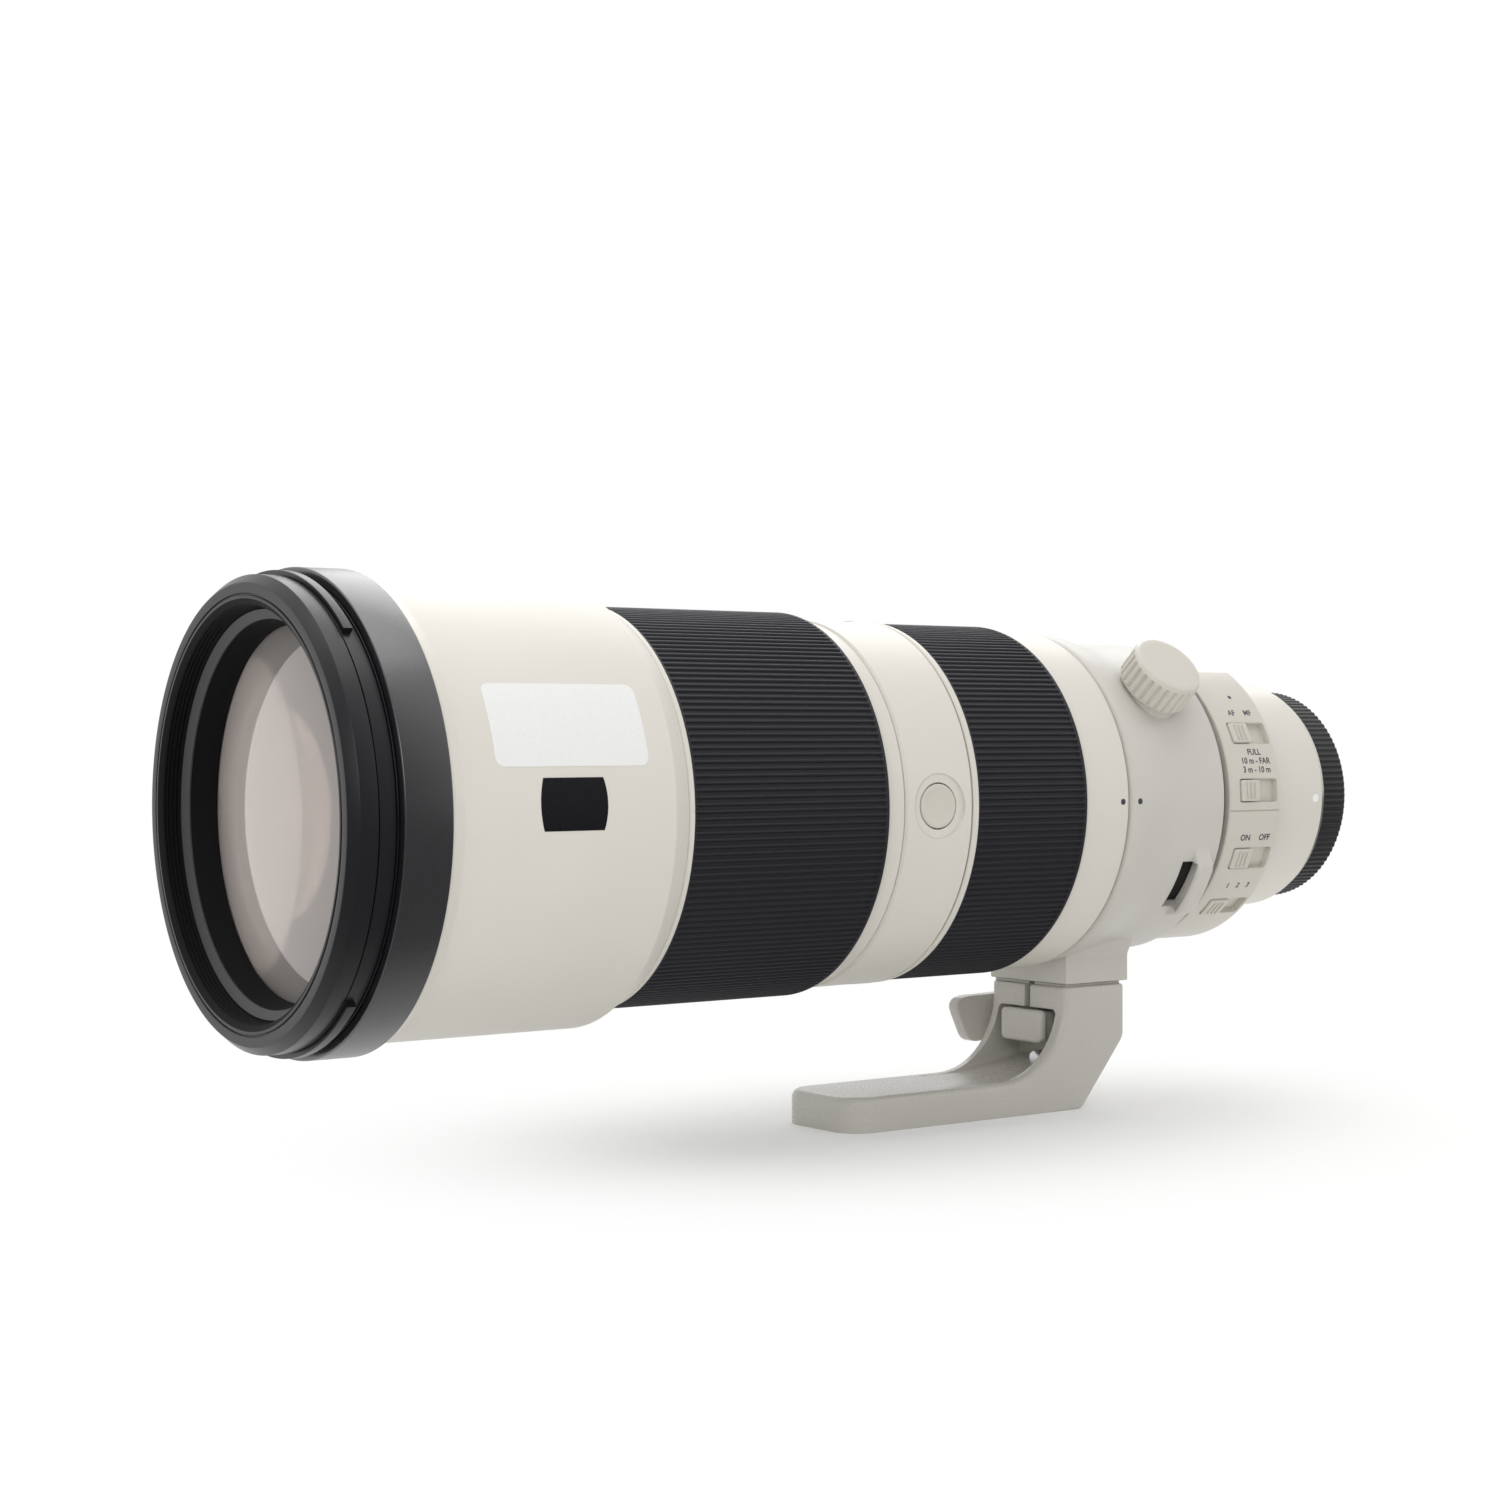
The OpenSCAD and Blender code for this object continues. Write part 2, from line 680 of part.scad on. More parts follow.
// Black band between the bayonet track and the white barrel
module front_band() {
    edge = 0.5;
    color(black) spin([[band_in, x_band_front], [band_r - edge, x_band_front],
        [band_r, x_band_front + edge], [band_r, x_barrel_front - edge],
        [band_r - edge, x_barrel_front], [band_in, x_barrel_front]]);
}

// White front barrel, closed at the rear by a wall that carries the guide tube
module front_barrel() {
    lip = 1.5;
    lip_len = 4;
    x_bevel = x_barrel_rear - barrel_bevel_len;
    wall_in = guide_out + fit_gap;
    color(white) difference() {
        spin([[barrel_in, x_barrel_front], [barrel_r + lip, x_barrel_front],
            [barrel_r + lip * 0.7, x_barrel_front + lip_len * 0.4],
            [barrel_r, x_barrel_front + lip_len], [barrel_r, x_bevel],
            [barrel_end_r, x_barrel_rear], [wall_in, x_barrel_rear],
            [wall_in, x_barrel_end], [barrel_in, x_barrel_end]]);
        badge_cut(badge_t, slide_gap / 2);
    }
}

// Space of the badge plate, let into the barrel by a depth
module badge_cut(depth, margin) {
    x_badge = x_barrel_front + badge_setback;
    span = (badge_h / 2 + margin) / barrel_r * 180 / PI;
    spin_between([[barrel_r - depth, x_badge - margin], [barrel_r + depth, x_badge - margin],
        [barrel_r + depth, x_badge + badge_len + margin],
        [barrel_r - depth, x_badge + badge_len + margin]], 2 - span, 2 + span);
}

// Plain badge plate, let into the barrel
module badge_plate() {
    proud = 0.15;
    color(black) intersection() {
        badge_cut(badge_t, 0);
        tube(x_barrel_front, x_barrel_rear, barrel_in, barrel_r + proud);
    }
}

// Grey retaining ring in front of the glass
module retaining_ring() {
    bevel = 1.2;
    color(metal) spin([[ring_in - fit_gap, x_thread_rear + fit_gap],
        [ring_in - fit_gap, x_cell_front], [lip_r + 1, x_cell_front],
        [lip_r + 1, x_thread_rear + fit_gap + bevel]]);
}

// Cell that holds the two front elements
module front_cell() {
    seat = front_glass_r + fit_gap;
    x_flange = x_barrel_front + slide_gap;
    color(black) spin([[lip_r + 1, x_cell_front], [cell_out, x_cell_front], [cell_out, x_flange],
        [barrel_in - fit_gap, x_flange], [barrel_in - fit_gap, x_flange + cell_flange_len],
        [cell_out, x_flange + cell_flange_len], [cell_out, x_cell_rear],
        [lip_r - 2, x_cell_rear], [lip_r - 2, x_second_rear + fit_gap],
        [seat, x_second_rear + fit_gap], [seat, x_second_front - fit_gap],
        [lip_r - 1, x_second_front - fit_gap], [lip_r - 1, x_front_glass_rear + fit_gap],
        [seat, x_front_glass_rear + fit_gap], [seat, x_lip_rear], [lip_r, x_lip_rear]]);
}

// First glass element
module front_element() {
    color(glass_tint) element(x_front_vertex, x_front_glass_rear, front_glass_r, front_curve, 0);
}

// Second glass element
module second_element() {
    color(glass_tint) element(x_second_front, x_second_rear, front_glass_r, 0, -second_curve);
}

// Fixed guide tube with straight slots for the cam rollers
module guide_tube() {
    color(black) difference() {
        spin([[guide_r, x_guide_front], [guide_flange_r, x_guide_front], [guide_flange_r, x_barrel_end],
            [guide_out, x_barrel_end], [guide_out, x_guide_rear], [guide_r, x_guide_rear]]);
        for (a = roller_angles) {
            guide_slot(a, x_zoom_a, zoom_a_travel);
            guide_slot(a, x_zoom_b - zoom_b_travel, zoom_b_travel);
        }
    }
}

// Straight slot with round ends through the guide tube
module guide_slot(angle, x0, travel) {
    on_side(angle) translate([0, 0, guide_r - 1]) linear_extrude(guide_wall + 2) {
        translate([x0, -roller_slot_w / 2]) square([travel, roller_slot_w]);
        translate([x0, 0]) circle(d = roller_slot_w);
        translate([x0 + travel, 0]) circle(d = roller_slot_w);
    }
}

// Cam tube with two sets of winding slots, turned by the zoom ring
module cam_tube() {
    color(metal) difference() {
        tube(x_cam_front, x_cam_rear, cam_in, cam_out);
        for (a = roller_angles) rotate([-a, 0, 0]) mirror([0, 1, 0]) mirror([0, 0, 1]) {
            winding_slot(x_zoom_a, zoom_a_travel, zoom_turn, cam_in - 1, cam_out + 1, roller_slot_w);
            winding_slot(x_zoom_b, -zoom_b_travel, zoom_turn, cam_in - 1, cam_out + 1, roller_slot_w);
        }
        for (a = drive_keys) on_side(a, x_cam_rear - key_len)
            translate([0, -key_w / 2 - fit_gap, cam_out - key_depth - fit_gap])
                cube([key_len + 1, key_w + 2 * fit_gap, key_depth + 2]);
    }
}

// Zoom sleeve: front rim, seat for the rubber, scale skirt and keys for the cam tube
module zoom_sleeve() {
    edge = 0.4;
    color(white) union() {
        spin([[zoom_in, x_zoom_front], [zoom_rim_r - edge, x_zoom_front], [zoom_rim_r, x_zoom_front + edge],
            [zoom_rim_r, x_zoom_rubber_front], [zoom_out, x_zoom_rubber_front], [zoom_out, x_zoom_rear],
            [zoom_in, x_zoom_rear]]);
        for (a = drive_keys) on_side(a, x_cam_rear - key_len + fit_gap)
            translate([0, -key_w / 2, cam_out - key_depth])
                cube([key_len - fit_gap, key_w, key_depth + zoom_wall / 2]);
    }
}

// Rubber of the zoom ring
module zoom_rubber() {
    color(black) rubber_band(x_zoom_rubber_front, x_zoom_rubber_rear, zoom_out, zoom_rubber_r);
}

// A grip rubber with rounded ends and lengthwise grooves
module rubber_band(x0, x1, r_in, r_out) {
    edge = 0.6;
    blind = 1;
    difference() {
        spin([[r_in, x0], [r_out - edge, x0], [r_out, x0 + edge], [r_out, x1 - edge],
            [r_out - edge, x1], [r_in, x1]]);
        for (i = [0:grip_grooves - 1]) rotate([(i + 0.5) * 360 / grip_grooves, 0, 0])
            translate([x0 + blind, -groove_w / 2, r_out - groove_depth])
                cube([x1 - x0 - 2 * blind, groove_w, 2 * groove_depth]);
    }
}

// Cell of a zoom group with its three cam rollers
module zoom_cell(x_mid) {
    out = guide_r - run_gap;
    lip = 2;
    x0 = x_mid - zoom_cell_len / 2;
    x1 = x_mid + zoom_cell_len / 2;
    union() {
        spin([[zoom_glass_r - lip, x0], [out, x0], [out, x1], [zoom_glass_r + fit_gap, x1],
            [zoom_glass_r + fit_gap, x0 + lip], [zoom_glass_r - lip, x0 + lip]]);
        for (a = roller_angles) on_side(a, x_mid)
            translate([0, 0, zoom_glass_r + lip]) cylinder(h = roller_tip_r - zoom_glass_r - lip, r = roller_r);
    }
}

module zoom_glass(x_mid) {
    lip = 2;
    element(x_mid - zoom_cell_len / 2 + lip + fit_gap, x_mid + zoom_cell_len / 2, zoom_glass_r,
        -zoom_curve, -zoom_curve);
}

module zoom_cell_a() { color(black) zoom_cell(x_zoom_a); }
module zoom_glass_a() { color(glass_tint) zoom_glass(x_zoom_a); }
module zoom_cell_b() { color(black) zoom_cell(x_zoom_b); }
module zoom_glass_b() { color(glass_tint) zoom_glass(x_zoom_b); }

// Fixed ring with a flat and a hole for each focus-hold button
hold_angles = [0, 90, -90];
x_hold = (x_button_front + x_button_rear) / 2;
flat_r = button_ring_r - button_flat_depth;
module button_ring() {
    web = 2.8;
    edge = 0.6;
    foot_in = guide_out + fit_gap;
    color(white) difference() {
        spin([[foot_in, x_button_front], [button_ring_r - edge, x_button_front],
            [button_ring_r, x_button_front + edge], [button_ring_r, x_button_rear - edge],
            [button_ring_r - edge, x_button_rear], [foot_in, x_button_rear],
            [foot_in, x_button_rear - web], [button_ring_in, x_button_rear - web],
            [button_ring_in, x_button_front + web], [foot_in, x_button_front + web]]);
        for (a = hold_angles) on_side(a, x_hold) {
            translate([0, 0, flat_r]) cylinder(h = button_ring_wall, d = button_flat_d);
            translate([0, 0, button_ring_in - button_ring_wall])
                cylinder(h = 3 * button_ring_wall, d = button_d + 2 * slide_gap);
        }
    }
}

// Focus-hold button with a dished top and a flange under the ring
module hold_button(angle) {
    top = flat_r + 0.35;
    dish_curve = 40;
    dish = 0.5;
    under = guide_out + button_travel + slide_gap;
    stop_r = button_d / 2 + 0.8;
    stop_top = sqrt(pow(button_ring_in, 2) - pow(stop_r, 2)) - slide_gap;
    color(white) on_side(angle, x_hold) difference() {
        union() {
            translate([0, 0, under]) cylinder(h = top - under, d = button_d);
            translate([0, 0, under]) cylinder(h = stop_top - under, r = stop_r);
        }
        translate([0, 0, top - dish + dish_curve]) sphere(dish_curve);
    }
}

module hold_button_side() { hold_button(hold_angles[0]); }
module hold_button_top() { hold_button(hold_angles[1]); }
module hold_button_bottom() { hold_button(hold_angles[2]); }

// Focus sleeve with its front rim
module focus_sleeve() {
    edge = 0.4;
    color(white) spin([[focus_in, x_focus_front], [focus_rim_r - edge, x_focus_front],
        [focus_rim_r, x_focus_front + edge], [focus_rim_r, x_focus_rubber_front],
        [focus_out, x_focus_rubber_front], [focus_out, x_focus_rear], [focus_in, x_focus_rear]]);
}

// Rubber of the focus ring
module focus_rubber() {
    color(black) rubber_band(x_focus_rubber_front, x_focus_rear, focus_out, focus_rubber_r);
}

// Ring that holds the front ends of the focus rods
module focus_frame() {
    color(black) difference() {
        tube(x_focus_frame_front, x_focus_frame_rear, rod_pitch_r - 2 * rod_r, inner_out);
        rod_holes(rod_r + rod_seat_gap);
    }
}

// Places children at both guide rods
module at_rods() {
    for (side = [-1, 1]) translate([0, side * rod_pitch_r, 0]) children();
}

module rod_holes(r) {
    at_rods() translate([x_focus_frame_front - 1, 0, 0]) rotate([0, 90, 0])
        cylinder(h = x_iris_rear - x_focus_frame_front, r = r);
}

// Two steel rods that guide the focus group
module focus_rods() {
    color(metal) at_rods() translate([x_focus_frame_front, 0, 0]) rotate([0, 90, 0])
        cylinder(h = x_iris_front - x_focus_frame_front, r = rod_r);
}

// Magnet bars of the focus motor, fixed inside the guide tube
module focus_magnets() {
    color(metal) intersection() {
        tube(x_focus_frame_rear, x_iris_front, inner_out - magnet_t, inner_out);
        for (a = [90, -90]) on_side(a, x_focus_frame_rear)
            translate([0, -magnet_w / 2, 0]) cube([focus_rail_len, magnet_w, guide_out]);
    }
}

// Focus cell, which runs on the rods
module focus_cell() {
    lip = 1.6;
    x1 = x_focus_cell + focus_cell_len;
    color(black) difference() {
        spin([[focus_glass_r - lip, x_focus_cell], [focus_cell_r, x_focus_cell], [focus_cell_r, x1],
            [focus_glass_r + fit_gap, x1], [focus_glass_r + fit_gap, x_focus_cell + lip],
            [focus_glass_r - lip, x_focus_cell + lip]]);
        rod_holes(rod_r + slide_gap);
    }
}

module focus_glass() {
    lip = 1.6;
    color(glass_tint) element(x_focus_cell + lip + fit_gap, x_focus_cell + focus_cell_len, focus_glass_r,
        -group_curve, 0);
}

// Iris housing with the pivot pins of the blades
module iris_housing() {
    color(black) union() {
        spin([[iris_bore_r, x_iris_front], [inner_out, x_iris_front], [inner_out, x_iris_rear],
            [iris_bore_r, x_iris_rear], [iris_bore_r, x_iris_rear - plate_t],
            [inner_out - iris_wall, x_iris_rear - plate_t],
            [inner_out - iris_wall, x_iris_front + plate_t], [iris_bore_r, x_iris_front + plate_t]]);
        for (i = [0:blades - 1]) rotate([i * 360 / blades, 0, 0])
            translate([x_iris_front + plate_t / 2, 0, blade_pivot_r]) rotate([0, 90, 0])
                cylinder(h = x_drive_front - slide_gap - x_iris_front - plate_t / 2, r = blade_pin_r);
    }
}

// Ring that turns all the blades
module iris_drive_ring() {
    grip = inner_out - iris_wall - slide_gap;
    color(metal) difference() {
        tube(x_drive_front, x_drive_rear, iris_bore_r + 1, grip);
        for (i = [0:blades - 1]) rotate([i * 360 / blades + 180 / blades, 0, 0])
            translate([x_drive_front - 1, -1, iris_bore_r + 3]) cube([drive_ring_t + 2, 2, 5]);
    }
}

// One iris blade: an arc with an eye on its pivot pin
module iris_blade(i) {
    out = iris_open_r + blade_w;
    color(black) rotate([i * 360 / blades, 0, 0]) translate([x_blade_first + i * blade_pitch, 0, 0])
        rotate([0, 90, 0]) rotate([0, 0, 180]) linear_extrude(blade_t) difference() {
            union() {
                intersection() {
                    difference() {
                        circle(out);
                        circle(iris_open_r);
                    }
                    polygon([[0, 0], [2 * out, -0.15 * out], [2 * out, 2 * out],
                        [2 * out * cos(blade_sweep), 2 * out * sin(blade_sweep)]]);
                }
                translate([out - 1, -blade_eye_r]) square([blade_pivot_r - out + 1, 2 * blade_eye_r]);
                translate([blade_pivot_r, 0]) circle(blade_eye_r);
            }
            translate([blade_pivot_r, 0]) circle(blade_pin_r + slide_gap);
        }
}

module iris_blade_1() { iris_blade(0); }
module iris_blade_2() { iris_blade(1); }
module iris_blade_3() { iris_blade(2); }
module iris_blade_4() { iris_blade(3); }
module iris_blade_5() { iris_blade(4); }
module iris_blade_6() { iris_blade(5); }
module iris_blade_7() { iris_blade(6); }

// Frame of the image stabiliser
module shift_frame() {
    color(black) spin([[shift_window_r, x_shift_front], [inner_out, x_shift_front], [inner_out, x_shift_rear],
        [shift_window_r, x_shift_rear], [shift_window_r, x_shift_rear - plate_t],
        [shift_cavity_r, x_shift_rear - plate_t], [shift_cavity_r, x_shift_front + plate_t],
        [shift_window_r, x_shift_front + plate_t]]);
}

// Carriage that shifts the lens sideways
module shift_carriage() {
    color(metal) tube(x_carriage_front, x_carriage_rear, shift_window_r, carriage_r);
}

// Lens cell that shifts up and down on the carriage
module shift_cell() {
    lip = 1.5;
    color(black) spin([[shift_glass_r - lip, x_shift_cell_front], [shift_cell_r, x_shift_cell_front],
        [shift_cell_r, x_shift_cell_rear], [shift_glass_r + fit_gap, x_shift_cell_rear],
        [shift_glass_r + fit_gap, x_shift_cell_front + lip], [shift_glass_r - lip, x_shift_cell_front + lip]]);
}

module shift_glass() {
    color(glass_tint) element(x_shift_cell_front + 1.5 + fit_gap, x_shift_cell_rear, shift_glass_r,
        -group_curve, 0);
}

// Cell of the rear group
module rear_cell() {
    lip = 2;
    x1 = x_rear_cell_front + rear_cell_len;
    color(black) spin([[rear_glass_r - lip, x_rear_cell_front], [rear_cell_r, x_rear_cell_front],
        [rear_cell_r, x1], [rear_glass_r + fit_gap, x1],
        [rear_glass_r + fit_gap, x_rear_cell_front + lip], [rear_glass_r - lip, x_rear_cell_front + lip]]);
}

// Two elements of the rear group with a spacer between them
module rear_glass() {
    x0 = x_rear_cell_front + 2 + fit_gap;
    x1 = x_rear_cell_front + rear_cell_len;
    thick = (x1 - x0 - fit_gap) / 2;
    color(glass_tint) {
        element(x0, x0 + thick, rear_glass_r, 3 * group_curve, -group_curve);
        element(x1 - thick, x1, rear_glass_r, -group_curve, -group_curve);
    }
}

// Fixed ring behind the focus ring
module rear_ring() {
    edge = 0.5;
    color(white) spin([[guide_out + fit_gap, x_rear_ring_front], [rear_ring_r - edge, x_rear_ring_front],
        [rear_ring_r, x_rear_ring_front + edge], [rear_ring_r, x_rear_ring_rear - edge],
        [rear_ring_r - edge, x_rear_ring_rear], [guide_out + fit_gap, x_rear_ring_rear]]);
}

// Collar with its pedestal, foot rail, knob boss and two strap lugs
module tripod_collar() {
    color(grey_white) difference() {
        union() {
            spin([[collar_in, x_collar_front], [collar_front_r - collar_round, x_collar_front],
                [collar_front_r, x_collar_front + collar_round], [collar_front_r, x_collar_edge],
                for (t = [0.2:0.2:1]) [collar_rear_r + collar_flare * (0.5 + 0.5 * cos(180 * t)),
                    x_collar_edge + collar_sweep_len * t],
                [collar_rear_r, x_collar_rear], [collar_in, x_collar_rear]]);
            translate([x_pedestal_front, -pedestal_w / 2, -pedestal_depth])
                cube([pedestal_len, pedestal_w, pedestal_depth - collar_in / 2]);
            translate([x_rail_front, -rail_neck_w / 2, -pedestal_depth - rail_neck_h])
                cube([x_rail_rear - x_rail_front, rail_neck_w, rail_neck_h + 1]);
            translate([x_rail_front, -rail_head_w / 2, -pedestal_depth - rail_neck_h - rail_head_h])
                cube([x_rail_rear - x_rail_front, rail_head_w, rail_head_h]);
            on_side(knob_angle, x_knob) cylinder(h = knob_base_r - slide_gap, r = knob_boss_r);
            strap_lug(lug_angle);
            strap_lug(180 - lug_angle);
        }
        disc(x_collar_front - 1, x_collar_rear + 1, collar_in);
        for (a = [lug_angle, 180 - lug_angle])
            spin_between([[collar_rear_r + 0.3, x_lug_front - 1],
                [collar_rear_r + 0.3 + lug_slot_h, x_lug_front - 1],
                [collar_rear_r + 0.3 + lug_slot_h, x_lug_rear + 1], [collar_rear_r + 0.3, x_lug_rear + 1]],
                a - lug_slot_span / 2, a + lug_slot_span / 2);
        on_side(knob_angle, x_knob) cylinder(h = 2 * knob_base_r, r = 2 + slide_gap);
    }
}

module strap_lug(angle) {
    round = 1.2;
    spin_between([[collar_rear_r - lug_base_sink, x_lug_front], [lug_top_r - round, x_lug_front],
        [lug_top_r, x_lug_front + round], [lug_top_r, x_lug_rear - round], [lug_top_r - round, x_lug_rear],
        [collar_rear_r - lug_base_sink, x_lug_rear]], angle - lug_span / 2, angle + lug_span / 2);
}

// Lock knob with a fluted grip, a dished top and its screw
module collar_knob() {
    rim = 1.2;
    dish = 0.8;
    flute_r = 0.9;
    color(grey_white) on_side(knob_angle, x_knob) union() {
        translate([0, 0, collar_in + slide_gap]) cylinder(h = knob_base_r - collar_in, r = 2);
        translate([0, 0, knob_base_r]) difference() {
            rotate_extrude() polygon([[0, 0], [knob_r - 0.8, 0], [knob_r, 0.8], [knob_r, knob_h - 1.4],
                [knob_r - 1.4, knob_h], [knob_r - 1.4 - rim, knob_h],
                [knob_r - 1.9 - rim, knob_h - dish], [0, knob_h - dish]]);
            for (i = [0:knob_flutes - 1]) rotate(i * 360 / knob_flutes)
                translate([knob_r + 0.35, 0, -1]) cylinder(h = knob_h - 1.4, r = flute_r);
        }
    }
}

// Side outline of the foot, as [x, z] points
function foot_outline() = concat(
    [[x_base_front, -foot_depth], [x_base_rear, -foot_depth],
        [x_stem_rear, -foot_top - foot_stem_h], [x_stem_rear, -foot_top], [x_stem_front, -foot_top]],
    [for (a = [0:7.5:90]) [x_stem_front - foot_sweep_r * (1 - cos(a)),
        -foot_plate_top + foot_sweep_r * (1 - sin(a))]],
    [for (a = [0:15:90]) [x_base_front + foot_tip_round * (1 - sin(a)),
        -foot_plate_top - foot_tip_round * (1 - cos(a))]]);

// Removable foot: split clamp on the rail, stem and base plate
module tripod_foot() {
    color(grey_white) difference() {
        intersection() {
            rotate([90, 0, 0]) translate([0, 0, -foot_w / 2]) linear_extrude(foot_w) polygon(foot_outline());
            translate([0, 0, -foot_depth]) linear_extrude(foot_depth) {
                translate([x_base_front + foot_corner_r, -foot_w / 2])
                    square([x_stem_rear - x_base_front - foot_corner_r, foot_w]);
                translate([x_base_front, foot_corner_r - foot_w / 2])
                    square([foot_corner_r, foot_w - 2 * foot_corner_r]);
                for (side = [-1, 1])
                    translate([x_base_front + foot_corner_r, side * (foot_w / 2 - foot_corner_r)])
                        circle(foot_corner_r);
            }
        }
        translate([x_rail_front - slide_gap, -rail_neck_w / 2 - slide_gap, -rail_slot_depth])
            cube([foot_stem_len, rail_neck_w + 2 * slide_gap, rail_slot_depth]);
        translate([x_rail_front - slide_gap, -rail_head_w / 2 - slide_gap, -rail_slot_depth])
            cube([foot_stem_len, rail_head_w + 2 * slide_gap, rail_head_h + 2 * slide_gap]);
        translate([x_stem_front - 1, -foot_slit_w / 2, -recess_top - 1])
            cube([foot_stem_len, foot_slit_w, recess_top]);
        translate([x_stem_front - foot_sweep_r, recess_wall - foot_w / 2, -recess_bottom])
            cube([recess_depth + foot_sweep_r, foot_w - 2 * recess_wall, recess_bottom - recess_top]);
        translate([x_clamp, clamp_end_wall - foot_w / 2, -clamp_depth]) rotate([-90, 0, 0])
            cylinder(h = foot_w, r = clamp_screw_r + slide_gap);
        at_release_pins(x_stem_front) cylinder(h = recess_depth + release_pin_len + release_travel,
            r = release_pin_r + slide_gap);
        for (t = [[x_thread_large, thread_large_r], [x_thread_small, thread_small_r]])
            translate([t[0], 0, -foot_depth - 1])
                cylinder(h = insert_len + insert_set_in + 1, r = t[1] + insert_wall + fit_gap / 2);
    }
}

// Clamp lever: hub, paddle and the screw through the stem
module foot_lever() {
    color(grey_white) translate([x_clamp, lever_side, -clamp_depth]) rotate([-90, 0, 0]) union() {
        cylinder(h = lever_hub_t, r = lever_hub_r);
        translate([0, 0, lever_hub_t - lever_t]) linear_extrude(lever_t) {
            polygon([[0, -lever_hub_r * 0.9], [0, lever_hub_r * 0.9],
                [lever_w / 2 - lever_len, lever_w / 2], [lever_w / 2 - lever_len, -lever_w / 2]]);
            translate([lever_w / 2 - lever_len, 0]) circle(lever_w / 2);
        }
        translate([0, 0, clamp_end_wall - foot_w]) cylinder(h = foot_w - clamp_end_wall + 1, r = clamp_screw_r);
    }
}

// Places children at the release button's two guide pins, with local Z pointing rearward
module at_release_pins(x) {
    for (side = [-1, 1]) translate([x, side * release_w / 4, -release_pin_depth]) rotate([0, 90, 0]) children();
}

// Square release button in the recess of the stem, on two guide pins
module foot_release() {
    round = 1.6;
    color(grey_white) union() {
        translate([x_release_front, 0, -release_depth]) rotate([90, 0, 90])
            linear_extrude(release_len) {
                square([release_w - 2 * round, release_h], center = true);
                square([release_w, release_h - 2 * round], center = true);
                for (u = [-1, 1], v = [-1, 1])
                    translate([u * (release_w / 2 - round), v * (release_h / 2 - round)]) circle(round);
            }
        at_release_pins(x_release_front + release_len / 2)
            cylinder(h = recess_depth + release_proud + release_pin_len - 2 - release_len / 2, r = release_pin_r);
    }
}

// Steel inserts with the two tripod threads
module thread_inserts() {
    color(metal) for (t = [[x_thread_large, thread_large_r], [x_thread_small, thread_small_r]])
        translate([t[0], 0, -foot_depth + insert_set_in]) difference() {
            cylinder(h = insert_len, r = t[1] + insert_wall);
            translate([0, 0, -1]) cylinder(h = insert_len + 2, r = t[1]);
        }
}

// Rear barrel: sleeve under the collar, panel zone, shoulder, mount barrel and mount wall
module rear_barrel() {
    color(white) difference() {
        spin([[sleeve_in, x_sleeve_front], [sleeve_out, x_sleeve_front], [sleeve_out, x_sleeve_step],
            [rear_r, x_sleeve_step], [rear_r, x_panel_rear], [mount_barrel_r, x_mount_front],
            [mount_barrel_r, -flange_t], [spigot_r + fit_gap, -flange_t],
            [spigot_r + fit_gap, x_mount_wall_front], [mount_barrel_in, x_mount_wall_front],
            [mount_barrel_in, x_mount_front], [rear_in, x_panel_rear],
            [rear_in, x_rear_cell_front + rear_cell_len + fit_gap],
            [sleeve_in, x_rear_cell_front + rear_cell_len + fit_gap]]);
        at_mount_screws() cylinder(h = mount_wall_t, r = screw_r + rod_seat_gap);
    }
}

// Places children on the mount screws, with local Z pointing forward from the flange's front face
module at_mount_screws() {
    for (i = [0:mount_screw_count - 1]) rotate([45 + i * 360 / mount_screw_count, 0, 0])
        translate([-flange_t, 0, mount_screw_pcd_r]) rotate([0, -90, 0]) children();
}

// Raised panel on the left of the rear barrel, with four switch recesses
module switch_panel() {
    color(white) difference() {
        spin_between([[rear_r + fit_gap / 2, x_panel_edge], [panel_r - 0.5, x_panel_edge],
            [panel_r, x_panel_edge + 0.5], [panel_r, x_panel_rear - panel_bevel],
            [panel_r - panel_bevel, x_panel_rear], [rear_r + fit_gap / 2, x_panel_rear]],
            panel_bottom, panel_top);
        for (a = switch_angles) on_side(a, x_switch_slot)
            translate([0, -switch_slot_w / 2, panel_r - switch_slot_depth])
                cube([switch_slot_len, switch_slot_w, panel_r]);
    }
}

// Slider of a switch, at the front end of its recess
module switch_slider(angle) {
    floor_r = panel_r - switch_slot_depth + slide_gap;
    ridge = 0.5;
    color(white) on_side(angle, x_switch_slot + slide_gap)
        translate([0, slide_gap - switch_slot_w / 2, floor_r]) union() {
            cube([switch_len, switch_slot_w - 2 * slide_gap, switch_slot_depth + switch_proud - slide_gap]);
            for (i = [-1:1]) translate([switch_len / 2 + i * 1.6 - ridge / 2, 0.6, 0])
                cube([ridge, switch_slot_w - 2 * slide_gap - 1.2, switch_slot_depth + switch_proud + 0.1]);
        }
}

module switch_focus() { switch_slider(switch_angles[0]); }
module switch_limit() { switch_slider(switch_angles[1]); }
module switch_steady() { switch_slider(switch_angles[2]); }
module switch_mode() { switch_slider(switch_angles[3]); }

// Ring-shaped circuit board inside the rear barrel
module circuit_board() {
    color(board_green) difference() {
        tube(x_board, x_board + board_t, rear_glass_r - 3, rear_in - fit_gap);
        translate([x_board - 1, -4, -rear_in - 1]) cube([board_t + 2, 8, rear_in]);
    }
}

